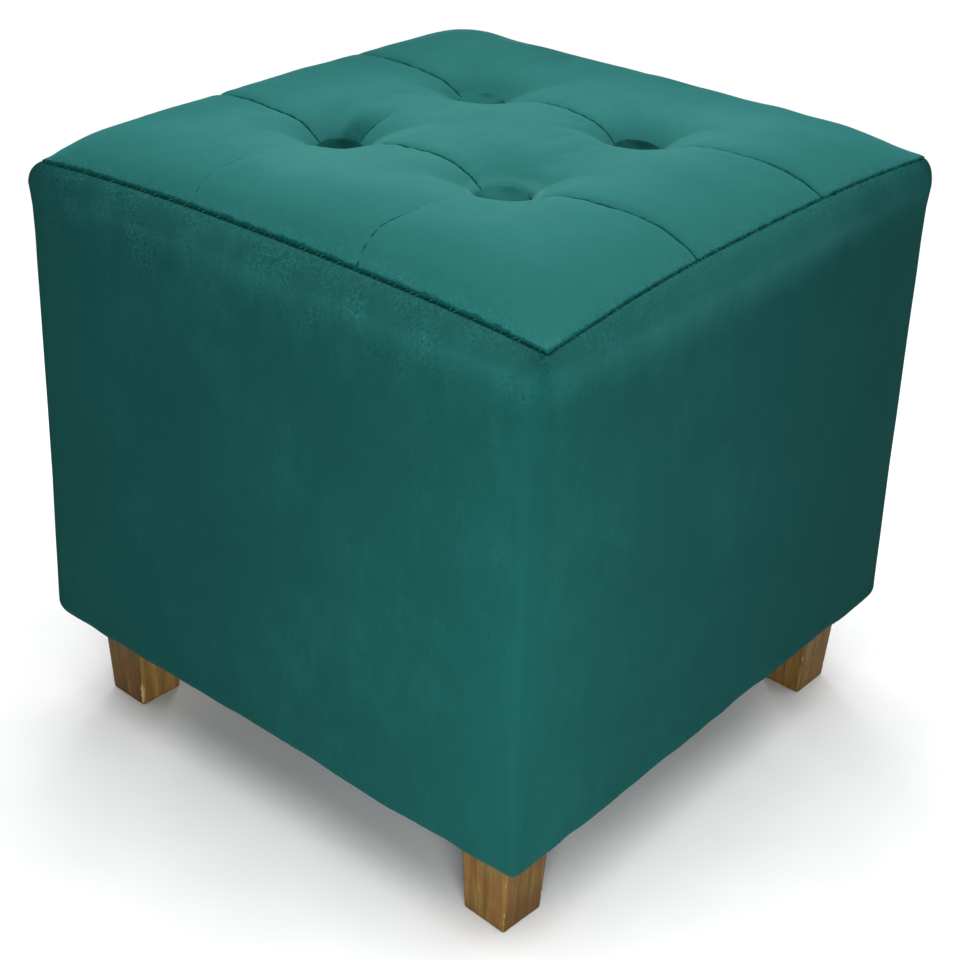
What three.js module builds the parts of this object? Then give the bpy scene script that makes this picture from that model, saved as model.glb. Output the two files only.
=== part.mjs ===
// Square tufted pouf: a velvet cube on four tapered wooden feet.
//
// Units are millimetres and +Z is up. The origin lies on the floor, in the middle of the four feet.
// The front of the pouf is -Y. Feet and buttons are named as they stand when the pouf is looked at
// over its (+X, -Y) corner: that corner is the front one, (-X, -Y) is left and (+X, +Y) is right.

import * as THREE from "three";

// Driving dimensions
const WIDTH = 350;
const UNDERSIDE = 51;
const BODY_SHIFT = { x: -1.3, y: -0.2 };
const GAP = 0.3;

// Side cover: the wall's half width at a few heights above the floor
const WALL = [
  { height: 64, half: WIDTH / 2 },
  { height: 97, half: WIDTH / 2 - 0.5 },
  { height: 155, half: WIDTH / 2 - 1.3 },
  { height: 233, half: WIDTH / 2 - 2.6 },
  { height: 292, half: WIDTH / 2 - 3.5 },
  { height: 310, half: WIDTH / 2 - 3.4 },
  { height: 322, half: WIDTH / 2 - 2.7 },
];
const WALL_CORNER = 8.7;
const BOTTOM_ROLL = 13;
const BOTTOM_CORNER = 4;
const TOP_ROLL_ANGLE = 72;
const ROLL_STEPS = 5;
const SIDE_STEPS = 16;
const CORNER_STEPS = 4;

// The slack of the cloth along the lower edge: a sag hangs by `drop` around `along` on its side.
// It fades out towards the corners, and only part of it reaches the widest height.
const SAG_FADE = 8;
const SAG_HELD = 0.5;
const SAGS = [
  { side: "front", along: 88, reach: 38, drop: 3.4 },
  { side: "front", along: -20, reach: 60, drop: -1.2 },
  { side: "right", along: 60, reach: 60, drop: -1.4 },
  { side: "right", along: 150, reach: 14, drop: 2.6 },
  { side: "back", along: 60, reach: 45, drop: 2 },
  { side: "left", along: -40, reach: 50, drop: 1.8 },
];

// Perimeter seam between the side cover and the top panel
const SEAM_HALF = 164.9;
const SEAM_BOW = 3.9;
const SEAM_RISE = { front: 4.4, right: 4.2, back: 1, left: 2.2 };
const SEAM_CORNER_HEIGHT = { left: 333.4, front: 333, right: 337.2, back: 335.8 };
const SEAM_CORNER = 0.9;
const SEAM_FLATNESS = 2.5;

// The seam's front corner is drawn out a little
const CORNER_PULL = { x: 2, y: 1.6, reach: 70 };

// Hidden bed on which the top panel lies
const BED_HEIGHT = 325;
const BED_HALF = 150;
const BED_LIP = 7;
const BED_LIP_DROP = 6;
const PANEL_LIP_DROP = 4.4;

// Top panel: swells, channels and the funnels that the buttons pull
const TUFT = 54.8;
const CROWN = 14;
const CROWN_REACH = { front: 10.5, right: 22, back: 10.3, left: 7.6 };
const SWELL_REACH = 22;
const CHANNEL_ALONG_X = 0.8;
const CHANNEL_ALONG_Y = 1.9;
const CHANNEL_ROUNDNESS = 0.6;
const FUNNEL_PULL = 23.7;
const FUNNEL_REACH = 16.7;
const PANEL_EDGE = 0.9;
const PANEL_TUCK = 0.6;
const BOW_DEPTH = 4;
const SWELL_SPREAD = 1.2 * TUFT;
const SWELLS = [
  { column: -1, row: -1, fill: -1.4 },
  { column: 0, row: -1, fill: 3.5 },
  { column: 1, row: -1, fill: 3.5 },
  { column: -1, row: 0, fill: -0.4 },
  { column: 0, row: 0, fill: 1.8 },
  { column: 1, row: 0, fill: 1.7 },
  { column: -1, row: 1, fill: -1.6 },
  { column: 0, row: 1, fill: -1.4 },
  { column: 1, row: 1, fill: -1.4 },
];

// Right of the buttons both seams were sewn askew, and drift towards the back up to the edge
const SEAM_DRIFT = 10;
const DRIFT_FROM = TUFT + 13;
const DRIFT_CURVE = 1.5;

// Covered buttons
const BUTTON_RADIUS = 12.8;
const BUTTON_DOME = 4.4;
const BUTTON_SKIRT = 2.8;
const WELL_RADIUS = BUTTON_RADIUS + 0.5;
const WELL_WALL = 1;
const BUTTON_SEGMENTS = 24;
const DOME_STEPS = 5;
const DOME_FULLNESS = 0.8;

// The button's tucked skirt, as shares of its radius and of the skirt's height
const SKIRT = [
  { radius: 0, height: 0 },
  { radius: 0.86, height: 0 },
  { radius: 0.97, height: 0.45 },
  { radius: 1, height: 1 },
];

// Each button sits a little off the crossing of its channels, its well `sink` below the rim
const BUTTONS = [
  { name: "back", column: -1, row: 1, shift: [0.2, 0], sink: 5.2 },
  { name: "front", column: 1, row: -1, shift: [-1.2, -0.8], sink: 6.8 },
  { name: "left", column: -1, row: -1, shift: [-2, -1.6], sink: 7.7 },
  { name: "right", column: 1, row: 1, shift: [-1, -0.6], sink: 8.1 },
].map((b) => ({ ...b, x: b.column * TUFT + b.shift[0], y: b.row * TUFT + b.shift[1] }));

// Distance of the panel's grid lines from a channel, and from the middle of an outer cell outwards
const LINES_BY_CHANNEL = [0, 7, WELL_RADIUS, WELL_RADIUS + WELL_WALL, 18, 24, 32, 43];
const LINES_BY_EDGE = [30, 16, 8, 3.5, 0];
const ROUND_UNTIL = 16;
const SQUARE_FROM = 40;

// Feet, each fitted by hand: a little off its place and turned by a few degrees
const FOOT_BASE = 28.2;
const FOOT_TOP = 32.4;
const FOOT_CHAMFER = 1.2;
const FEET = [
  { name: "back", x: -141.5, y: 141.5, turn: 0 },
  { name: "front", x: 142, y: -142.9, turn: -3.5 },
  { name: "left", x: -140.6, y: -140.8, turn: -2 },
  { name: "right", x: 142.8, y: 139.5, turn: -1 },
];

// The four sides, each with the direction that runs along it and the one that points out of it
const SIDES = [
  { name: "front", along: [1, 0], out: [0, -1] },
  { name: "right", along: [0, 1], out: [1, 0] },
  { name: "back", along: [-1, 0], out: [0, 1] },
  { name: "left", along: [0, -1], out: [-1, 0] },
];

const velvet = new THREE.MeshStandardMaterial({ color: 0x1c5a56, roughness: 0.9, metalness: 0 });
const paleVelvet = new THREE.MeshStandardMaterial({ color: 0x2f7a75, roughness: 0.9, metalness: 0 });
const wood = new THREE.MeshStandardMaterial({ color: 0x6b5430, roughness: 0.6, metalness: 0 });

const bell = (distance, reach) => Math.exp(-((distance / reach) ** 2));
const arch = (share) => 1 - Math.min(Math.abs(share), 1) ** SEAM_FLATNESS;

// A closed body from vertices and triangles that share them
function solid(name, vertices, triangles, material) {
  const geometry = new THREE.BufferGeometry();
  geometry.setAttribute("position", new THREE.Float32BufferAttribute(vertices.flat(), 3));
  geometry.setIndex(triangles.flat());
  geometry.computeVertexNormals();
  const mesh = new THREE.Mesh(geometry, material);
  mesh.name = name;
  return mesh;
}

// Rings of equal length, from the lowest to the one that closes the top, with a fan at each end
function ringedSolid(name, rings, bottomCentre, topCentre, material) {
  const count = rings[0].length;
  const vertices = [...rings.flat(), bottomCentre, topCentre];
  const bottom = vertices.length - 2;
  const top = vertices.length - 1;
  const last = (rings.length - 1) * count;
  const triangles = [];
  for (let i = 0; i < count; i++) {
    const next = (i + 1) % count;
    triangles.push([bottom, next, i]);
    triangles.push([top, last + i, last + next]);
    for (let r = 0; r + 1 < rings.length; r++) {
      const low = r * count;
      const high = low + count;
      triangles.push([low + i, low + next, high + next]);
      triangles.push([low + i, high + next, high + i]);
    }
  }
  return solid(name, vertices, triangles, material);
}

// Height of the perimeter seam above the plan position (u, v), each from -1 to 1. Its corners lie
// lowest and the filling lifts it towards the middle of each side.
function seamHeight(u, v) {
  const corner = SEAM_CORNER_HEIGHT;
  const front = THREE.MathUtils.lerp(corner.left, corner.front, (u + 1) / 2);
  const back = THREE.MathUtils.lerp(corner.back, corner.right, (u + 1) / 2);
  const level = THREE.MathUtils.lerp(front, back, (v + 1) / 2);
  const riseAlongX = THREE.MathUtils.lerp(SEAM_RISE.front, SEAM_RISE.back, (v + 1) / 2);
  const riseAlongY = THREE.MathUtils.lerp(SEAM_RISE.left, SEAM_RISE.right, (u + 1) / 2);
  const both = (riseAlongX + riseAlongY) / 2;
  return level + riseAlongX * arch(u) + riseAlongY * arch(v) - both * arch(u) * arch(v);
}

// The seam's distance from the middle, at a share of the way along its side
const seamHalf = (share) => SEAM_HALF - SEAM_BOW * arch(share);

// How far the seam's corner pull moves a plan position
function cornerPull(x, y) {
  const pull = bell(Math.hypot(x - SEAM_HALF, y + SEAM_HALF), CORNER_PULL.reach);
  return { x: CORNER_PULL.x * pull, y: CORNER_PULL.y * pull };
}

// Stations around a side: the straight stretch as shares from -1 to 1, then the corner's turn
function sideStations() {
  const stations = [];
  for (let i = 0; i <= SIDE_STEPS; i++) {
    stations.push({ share: -1 + (2 * i) / SIDE_STEPS, turn: 0 });
  }
  for (let i = 1; i < CORNER_STEPS; i++) {
    stations.push({ share: 1, turn: (i / CORNER_STEPS) * (Math.PI / 2) });
  }
  return stations;
}

// One ring of the side cover, which lies with the body at `seamward` 0 and with the seam at 1.
// `halfAt` and `heightAt` take the side's name and the share along it.
function coverRing(corner, seamward, halfAt, heightAt) {
  const ring = [];
  for (const side of SIDES) {
    for (const { share, turn } of sideStations()) {
      const half = halfAt(side.name, share);
      const straight = half - corner;
      const along = share * straight + corner * Math.sin(turn);
      const out = straight + corner * Math.cos(turn);
      const x = along * side.along[0] + out * side.out[0];
      const y = along * side.along[1] + out * side.out[1];
      const pull = cornerPull(x, y);
      ring.push([
        x + THREE.MathUtils.lerp(BODY_SHIFT.x, pull.x, seamward),
        y + THREE.MathUtils.lerp(BODY_SHIFT.y, pull.y, seamward),
        heightAt(side.name, share),
      ]);
    }
  }
  return ring;
}

// How far the slack of the lower edge hangs at a share of the way along a side
function sag(sideName, share) {
  const along = (share * WIDTH) / 2;
  const drops = SAGS.filter((s) => s.side === sideName).map((s) => s.drop * bell(along - s.along, s.reach));
  return drops.reduce((sum, drop) => sum + drop, 0) * (1 - Math.abs(share) ** SAG_FADE);
}

function sideCover() {
  const rings = [];
  const widest = WALL[0];
  for (let i = 0; i <= ROLL_STEPS; i++) {
    const angle = (i / ROLL_STEPS) * (Math.PI / 2);
    const half = widest.half - BOTTOM_ROLL * (1 - Math.sin(angle));
    const height = UNDERSIDE + BOTTOM_ROLL * (1 - Math.cos(angle));
    const corner = THREE.MathUtils.lerp(BOTTOM_CORNER, WALL_CORNER, Math.sin(angle));
    const hang = Math.sin(angle) * (1 - SAG_HELD * Math.sin(angle) ** 2);
    rings.push(coverRing(corner, 0, () => half, (side, share) => height - hang * sag(side, share)));
  }
  for (const { height, half } of WALL.slice(1)) {
    rings.push(coverRing(WALL_CORNER, 0, () => half, () => height));
  }

  const shoulder = WALL.at(-1);
  const fullTurn = THREE.MathUtils.degToRad(TOP_ROLL_ANGLE);
  const toSeam = (sideName, share) => {
    const [u, v] = planShares(sideName, share);
    return seamHeight(u, v) - shoulder.height;
  };
  for (let i = 1; i <= ROLL_STEPS; i++) {
    const angle = (i / ROLL_STEPS) * fullTurn;
    const rise = Math.sin(angle) / Math.sin(fullTurn);
    const inward = (1 - Math.cos(angle)) / (1 - Math.cos(fullTurn));
    const halfAt = (side, share) => THREE.MathUtils.lerp(shoulder.half, seamHalf(share), inward);
    const heightAt = (side, share) => shoulder.height + rise * toSeam(side, share);
    const corner = THREE.MathUtils.lerp(WALL_CORNER, SEAM_CORNER, inward);
    rings.push(coverRing(corner, inward, halfAt, heightAt));
  }
  const lipHeight = (side, share) => shoulder.height + toSeam(side, share) - BED_LIP_DROP;
  rings.push(coverRing(SEAM_CORNER, 1, (side, share) => seamHalf(share) - BED_LIP, lipHeight));
  rings.push(coverRing(SEAM_CORNER, 1, () => BED_HALF, () => BED_HEIGHT));
  return ringedSolid("side_cover", rings, [0, 0, UNDERSIDE], [0, 0, BED_HEIGHT], velvet);
}

// Plan position from -1 to 1 of a share along a side
function planShares(sideName, share) {
  const side = SIDES.find((s) => s.name === sideName);
  return [share * side.along[0] + side.out[0], share * side.along[1] + side.out[1]];
}

// Grid lines of the panel from one edge to the other, close together by the channels and the edges
function gridLines() {
  const middleToEdge = [
    ...LINES_BY_CHANNEL.map((d) => TUFT - d).reverse(),
    ...LINES_BY_CHANNEL.slice(1).map((d) => TUFT + d),
    (TUFT + SEAM_HALF) / 2,
    ...LINES_BY_EDGE.map((d) => SEAM_HALF - d),
  ];
  return [...middleToEdge.map((d) => -d).reverse(), 0, ...middleToEdge];
}

// How much of a channel's depth is filled again at a distance from it, 0 to 1
function filled(position) {
  const distance = Math.abs(Math.abs(position) - TUFT);
  return Math.sin((Math.PI / 2) * Math.min(distance / TUFT, 1)) ** CHANNEL_ROUNDNESS;
}

// Filling of the nine swells, flowing from each one's middle into the next
function swell(x, y) {
  const weigh = (position, cell) => bell(position - cell * 2 * TUFT, SWELL_SPREAD);
  let sum = 0;
  let weights = 0;
  for (const { column, row, fill } of SWELLS) {
    const weight = weigh(x, column) * weigh(y, row);
    sum += weight * fill;
    weights += weight;
  }
  return sum / weights;
}

// How far the seams' drift moves a plan position towards the back
function seamDrift(x, y) {
  const share = THREE.MathUtils.clamp((x - DRIFT_FROM) / (SEAM_HALF - DRIFT_FROM), 0, 1);
  return SEAM_DRIFT * share ** DRIFT_CURVE * (1 - (y / SEAM_HALF) ** 2);
}

// Height of the velvet's surface between the buttons
function panelHeight(x, y) {
  const u = x / SEAM_HALF;
  const v = (y + seamDrift(x, y)) / SEAM_HALF;
  const rising = (inside, reach) => 1 - Math.exp(-inside / reach);
  const inside = { front: SEAM_HALF + y, right: SEAM_HALF - x, back: SEAM_HALF - y, left: SEAM_HALF + x };
  const edge = SIDES.reduce((product, s) => product * rising(inside[s.name], CROWN_REACH[s.name]), 1);
  const softEdge = rising(Math.min(inside.left, inside.right), SWELL_REACH)
    * rising(Math.min(inside.front, inside.back), SWELL_REACH);
  const channels = CHANNEL_ALONG_X * filled(y) + CHANNEL_ALONG_Y * filled(x);
  const crown = (CROWN + swell(x, y)) * edge + channels * softEdge;
  const pull = BUTTONS.reduce(
    (sum, b) => sum + FUNNEL_PULL * Math.exp(-Math.hypot(x - b.x, y - b.y) / FUNNEL_REACH),
    0,
  );
  return seamHeight(u, v) + PANEL_EDGE + GAP + crown - pull * edge;
}

// Level of a well's floor, a little below the lowest place on the rim of its funnel
function wellFloor(button) {
  const rim = WELL_RADIUS + WELL_WALL;
  return panelHeight(button.x, button.y - rim) - button.sink;
}

// Grid lines near a button are bent from squares to circles, so that its well is round, and are
// moved with it where it sits off the crossing of its channels
function roundedToButton(x, y) {
  const button = BUTTONS.find((b) => b.column === Math.sign(x) && b.row === Math.sign(y));
  if (!button) {
    return { x, y, radius: Infinity };
  }
  const dx = x - button.column * TUFT;
  const dy = y - button.row * TUFT;
  const square = Math.max(Math.abs(dx), Math.abs(dy));
  const round = Math.hypot(dx, dy) || 1;
  const share = 1 - THREE.MathUtils.smoothstep(square, ROUND_UNTIL, SQUARE_FROM);
  const stretch = share * (square / round - 1);
  return {
    x: x + dx * stretch + button.shift[0] * share,
    y: y + dy * stretch + button.shift[1] * share,
    radius: square,
    button,
  };
}

// A point of the panel's upper surface from its unbent grid position
function panelPoint(gridX, gridY) {
  const { x, y, radius, button } = roundedToButton(gridX, gridY);
  const drift = seamDrift(x, y);
  const bowX = seamHalf((gridY + drift) / SEAM_HALF) / SEAM_HALF;
  const bowY = seamHalf(gridX / SEAM_HALF) / SEAM_HALF;
  const edgeX = Math.abs(gridX / SEAM_HALF) ** BOW_DEPTH;
  const edgeY = Math.abs(gridY / SEAM_HALF) ** BOW_DEPTH;
  const inWell = button && radius <= WELL_RADIUS;
  const pull = cornerPull(x, y);
  return [
    x * THREE.MathUtils.lerp(1, bowX, edgeX) + pull.x,
    (y + drift) * THREE.MathUtils.lerp(1, bowY, edgeY) + pull.y,
    inWell ? wellFloor(button) : panelHeight(x, y),
  ];
}

function topPanel() {
  const lines = gridLines();
  const count = lines.length;
  const vertices = [];
  for (const y of lines) {
    for (const x of lines) {
      vertices.push(panelPoint(x, y));
    }
  }
  const triangles = [];
  const at = (column, row) => row * count + column;
  for (let row = 0; row + 1 < count; row++) {
    for (let column = 0; column + 1 < count; column++) {
      const corners = [at(column, row), at(column + 1, row), at(column + 1, row + 1), at(column, row + 1)];
      triangles.push([corners[0], corners[1], corners[2]]);
      triangles.push([corners[0], corners[2], corners[3]]);
    }
  }

  // The rim runs once around the grid, and the hidden underside steps down from it to the bed
  const last = count - 1;
  const rim = [];
  for (let i = 0; i < last; i++) rim.push([i, 0]);
  for (let i = 0; i < last; i++) rim.push([last, i]);
  for (let i = 0; i < last; i++) rim.push([last - i, last]);
  for (let i = 0; i < last; i++) rim.push([0, last - i]);
  const below = [
    { inset: PANEL_TUCK, height: (u, v) => seamHeight(u, v) + GAP },
    { inset: BED_LIP, height: (u, v) => seamHeight(u, v) - PANEL_LIP_DROP },
    { inset: SEAM_HALF - BED_HALF, height: () => BED_HEIGHT + GAP },
  ];
  let upper = rim.map(([column, row]) => at(column, row));
  for (const { inset, height } of below) {
    const scale = 1 - inset / SEAM_HALF;
    const lower = rim.map(([column, row]) => {
      const [x, y] = vertices[at(column, row)];
      const drifted = lines[row] + seamDrift(lines[column], lines[row]);
      vertices.push([x * scale, y * scale, height(lines[column] / SEAM_HALF, drifted / SEAM_HALF)]);
      return vertices.length - 1;
    });
    for (let i = 0; i < rim.length; i++) {
      const next = (i + 1) % rim.length;
      triangles.push([upper[i], lower[i], lower[next]]);
      triangles.push([upper[i], lower[next], upper[next]]);
    }
    upper = lower;
  }
  vertices.push([0, 0, BED_HEIGHT + GAP]);
  const centre = vertices.length - 1;
  for (let i = 0; i < rim.length; i++) {
    triangles.push([upper[i], centre, upper[(i + 1) % rim.length]]);
  }
  return solid("top_panel", vertices, triangles, paleVelvet);
}

// A velvet-covered dome: flat below, with a tucked skirt under its widest edge
function coveredButton(button) {
  const profile = SKIRT.map(
    ({ radius, height }) => new THREE.Vector2(BUTTON_RADIUS * radius, BUTTON_SKIRT * height),
  );
  for (let i = 1; i <= DOME_STEPS; i++) {
    const angle = (i / DOME_STEPS) * (Math.PI / 2);
    const radius = i === DOME_STEPS ? 0 : BUTTON_RADIUS * Math.cos(angle) ** DOME_FULLNESS;
    profile.push(new THREE.Vector2(radius, BUTTON_SKIRT + BUTTON_DOME * Math.sin(angle)));
  }
  const geometry = new THREE.LatheGeometry(profile, BUTTON_SEGMENTS);
  geometry.rotateX(Math.PI / 2);
  const mesh = new THREE.Mesh(geometry, velvet);
  mesh.name = `button_${button.name}`;
  mesh.position.set(button.x, button.y, wellFloor(button) + GAP);
  return mesh;
}

// A foot tapers from its seat under the cover to its base on the floor, its four arrises eased
function foot(place) {
  const section = (width, height) => {
    const half = width / 2;
    const flat = half - FOOT_CHAMFER;
    const corners = [
      [flat, -half], [half, -flat], [half, flat], [flat, half],
      [-flat, half], [-half, flat], [-half, -flat], [-flat, -half],
    ];
    return corners.map(([x, y]) => [x, y, height]);
  };
  const top = UNDERSIDE - GAP;
  const rings = [
    section(FOOT_BASE - FOOT_CHAMFER, 0),
    section(FOOT_BASE, FOOT_CHAMFER / 2),
    section(FOOT_TOP, top),
  ];
  const mesh = ringedSolid(`foot_${place.name}`, rings, [0, 0, 0], [0, 0, top], wood);
  mesh.position.set(place.x, place.y, 0);
  mesh.rotation.z = THREE.MathUtils.degToRad(place.turn);
  return mesh;
}

const pouf = new THREE.Group();
pouf.add(sideCover());
pouf.add(topPanel());
BUTTONS.forEach((button) => pouf.add(coveredButton(button)));
FEET.forEach((place) => pouf.add(foot(place)));

export default pouf;
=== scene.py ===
"""Square velvet pouf with a button-tufted top, on four tapered wooden feet.

Lengths are metres, +Z is up and the front is -Y. Buttons and feet are named as they stand when
the pouf is looked at over its (+X, -Y) corner: that one is the front, (-X, -Y) is the left,
(-X, +Y) is the back and (+X, +Y) is the right one.
"""

import logging
import math
from dataclasses import dataclass, field
from enum import Enum
from typing import Any, Callable, Sequence

import bpy
import numpy as np
from mathutils import Matrix, Vector


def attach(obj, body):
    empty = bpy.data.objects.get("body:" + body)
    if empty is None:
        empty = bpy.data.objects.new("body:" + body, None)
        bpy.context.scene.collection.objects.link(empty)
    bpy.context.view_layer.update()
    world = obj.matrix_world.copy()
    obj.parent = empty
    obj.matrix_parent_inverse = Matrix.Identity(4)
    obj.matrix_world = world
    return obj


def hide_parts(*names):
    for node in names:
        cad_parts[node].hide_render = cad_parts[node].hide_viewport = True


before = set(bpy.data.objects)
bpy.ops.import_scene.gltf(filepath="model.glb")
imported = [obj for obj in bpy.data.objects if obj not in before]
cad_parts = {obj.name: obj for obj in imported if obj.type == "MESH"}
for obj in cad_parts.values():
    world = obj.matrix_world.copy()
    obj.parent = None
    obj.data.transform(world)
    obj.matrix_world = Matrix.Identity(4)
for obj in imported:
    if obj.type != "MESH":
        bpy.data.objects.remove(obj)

MM = 0.001
BODY = "root"
GAP = 0.3 * MM
log = logging.getLogger("pouf")

Array = np.ndarray


class Slot(Enum):
    """Material slots of the record."""

    SIDE = "side_velvet"
    TOP = "top_velvet"
    BUTTON = "button_velvet"
    FOOT = "foot_wood"


class Side(Enum):
    """Sides of the pouf, each with the direction along it and the one out of it."""

    FRONT = ((1, 0), (0, -1))
    RIGHT = ((0, 1), (1, 0))
    BACK = ((-1, 0), (0, 1))
    LEFT = ((0, -1), (-1, 0))

    @property
    def along(self) -> tuple[int, int]:
        """Direction that runs along the side, anticlockwise from above."""
        return self.value[0]

    @property
    def out(self) -> tuple[int, int]:
        """Direction that points out of the side."""
        return self.value[1]


# Shared shapes


def bell(distance: Array, reach: float) -> Array:
    """A bump of height 1 that has fallen to 0.37 at `reach`."""
    return np.exp(-((distance / reach) ** 2))


def mix(low: Any, high: Any, share: Any) -> Any:
    """The value at `share` of the way from low to high."""
    return low + (high - low) * share


def smooth(value: Array, start: float, end: float) -> Array:
    """0 below start, 1 above end and a smooth step between them."""
    share = np.clip((value - start) / (end - start), 0.0, 1.0)
    return share * share * (3 - 2 * share)


@dataclass(frozen=True)
class Ripples:
    """Uneven waves of about one length, the same each run: a sum of sines in random directions."""

    length: float
    seed: int
    count: int = 14
    spread: float = 0.35

    def at(self, *position: Array) -> Array:
        """Height of the waves.

        Args:
            position: one array for each axis, all of one shape.

        Returns:
            The height at each position, mostly from -1 to 1.
        """
        rng = np.random.default_rng(self.seed)
        total = np.zeros(np.shape(position[0]))
        for _ in range(self.count):
            way = rng.normal(size=len(position))
            way *= 2 * math.pi / (self.length * rng.uniform(1 - self.spread, 1 + self.spread)
                                  * np.linalg.norm(way))
            phase = rng.uniform(0, 2 * math.pi)
            total = total + np.sin(sum(w * p for w, p in zip(way, position)) + phase)
        return total / math.sqrt(self.count)


def add_mesh(name: str, points: Array, faces: Sequence[Sequence[int]], **marks: Array) -> bpy.types.Object:
    """Adds a smooth-shaded mesh object.

    Args:
        name: the piece's name.
        points: the vertices, one row each.
        faces: the corners of each face, anticlockwise seen from outside.
        marks: values per vertex that the finishes read, by name.

    Returns:
        The new object.
    """
    mesh = bpy.data.meshes.new(name)
    mesh.from_pydata(points.tolist(), [], faces)
    mesh.validate(clean_customdata=False)
    for mark, values in marks.items():
        layer = mesh.attributes.new(mark, "FLOAT", "POINT")
        layer.data.foreach_set("value", np.asarray(values, dtype=np.float32).ravel())
    mesh.shade_smooth()
    piece = bpy.data.objects.new(name, mesh)
    bpy.context.scene.collection.objects.link(piece)
    return piece


def ring_faces(rings: int, count: int) -> list[tuple[int, ...]]:
    """Faces between closed rings that are stacked from the lowest up.

    Args:
        rings: how many rings there are.
        count: how many points each has.

    Returns:
        The corners of each face.
    """
    faces = []
    for ring in range(rings - 1):
        low, high = ring * count, (ring + 1) * count
        for i in range(count):
            after = (i + 1) % count
            faces.append((low + i, low + after, high + after, high + i))
    return faces


def cap_faces(rings: int, count: int) -> list[tuple[int, ...]]:
    """Faces that close stacked rings to a point below and a point above, added after them.

    Args:
        rings: how many rings there are.
        count: how many points each has.

    Returns:
        The corners of each face, to the point below and the one above by turns.
    """
    bottom, top, last = rings * count, rings * count + 1, (rings - 1) * count
    faces = []
    for i in range(count):
        after = (i + 1) % count
        faces += [(bottom, after, i), (top, last + i, last + after)]
    return faces


def grid_faces(count: int) -> list[tuple[int, ...]]:
    """Faces of a square grid with `count` lines each way."""
    return [(i, i + 1, i + count + 1, i + count)
            for row in range(count - 1) for i in range(row * count, row * count + count - 1)]


@dataclass(frozen=True)
class PerimeterSeam:
    """The seam all round the top, that joins the side cover to the top panel."""

    half: float = 164.9 * MM
    bow: float = 3.9 * MM
    flatness: float = 2.5
    corner: float = 0.9 * MM
    rise: dict[str, float] = field(
        default_factory=lambda: {"front": 4.4 * MM, "right": 4.2 * MM, "back": 1 * MM, "left": 2.2 * MM}
    )
    corner_height: dict[str, float] = field(
        default_factory=lambda: {
            "left": 333.4 * MM, "front": 333 * MM, "right": 337.2 * MM, "back": 335.8 * MM
        }
    )
    # How far the front corner is moved along X and Y, and the reach of it
    drawn_out: tuple[float, float] = (2 * MM, 1.6 * MM)
    drawn_reach: float = 70 * MM
    # Both velvet pieces turn in under the seam, down to the plain bed that the panel rests on
    lip: float = 7 * MM
    bed_height: float = 325 * MM
    bed_half: float = 150 * MM

    def arch(self, share: Array) -> Array:
        """The filling's lift along a side: 1 at the middle and 0 at the corners."""
        return 1 - np.minimum(np.abs(share), 1) ** self.flatness

    def height(self, u: Array, v: Array) -> Array:
        """Height of the seam.

        Args:
            u: plan position along X, from -1 to 1.
            v: plan position along Y, from -1 to 1.

        Returns:
            The seam's height, which inside its outline spans from side to side.
        """
        corner, rise = self.corner_height, self.rise
        front = mix(corner["left"], corner["front"], (u + 1) / 2)
        back = mix(corner["back"], corner["right"], (u + 1) / 2)
        along_x = mix(rise["front"], rise["back"], (v + 1) / 2)
        along_y = mix(rise["left"], rise["right"], (u + 1) / 2)
        lift_x, lift_y = self.arch(u), self.arch(v)
        both = (along_x + along_y) / 2
        return mix(front, back, (v + 1) / 2) + along_x * lift_x + along_y * lift_y - both * lift_x * lift_y

    def half_at(self, share: Array) -> Array:
        """The seam's distance from the middle, at a share of the way along its side."""
        return self.half - self.bow * self.arch(share)

    def pull(self, x: Array, y: Array) -> tuple[Array, Array]:
        """How far the drawn-out front corner moves a plan position."""
        near = bell(np.hypot(x - self.half, y + self.half), self.drawn_reach)
        return self.drawn_out[0] * near, self.drawn_out[1] * near


SEAM = PerimeterSeam()


# Finishes


def linear(colour: str) -> tuple[float, float, float, float]:
    """Turns an sRGB hex colour into the linear one that the shaders take.

    Args:
        colour: the colour as "#rrggbb".

    Returns:
        Its linear red, green and blue, and an alpha of 1.
    """
    channels = [int(colour[i:i + 2], 16) / 255 for i in (1, 3, 5)]
    red, green, blue = (c / 12.92 if c <= 0.04045 else ((c + 0.055) / 1.055) ** 2.4 for c in channels)
    return red, green, blue, 1.0


def add(tree: bpy.types.NodeTree, kind: str, inputs: dict[Any, Any] | None = None, **settings: Any) -> Any:
    """Adds a shader node.

    Args:
        tree: the node tree.
        kind: Blender's name of the node type, without its ShaderNode prefix.
        inputs: a value or an output socket for each input, by name or number.
        settings: the node's own settings. `ramp` is a list of (place, hex colour) pairs.

    Returns:
        The new node.
    """
    node = tree.nodes.new("ShaderNode" + kind)
    ramp = settings.pop("ramp", None)
    for name, value in settings.items():
        setattr(node, name, value)
    if ramp:
        while len(node.color_ramp.elements) < len(ramp):
            node.color_ramp.elements.new(0.5)
        for element, (place, colour) in zip(node.color_ramp.elements, ramp):
            element.position = place
            element.color = linear(colour)
    for name, value in (inputs or {}).items():
        socket = node.inputs[name]
        if isinstance(value, bpy.types.NodeSocket):
            tree.links.new(value, socket)
        else:
            socket.default_value = value
    return node


def new_material(name: str) -> tuple[bpy.types.Material, bpy.types.NodeTree]:
    """Starts an empty node material.

    Args:
        name: the material's name.

    Returns:
        The material and its node tree.
    """
    material = bpy.data.materials.new(name)
    material.use_nodes = True
    material.node_tree.nodes.clear()
    return material, material.node_tree


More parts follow.
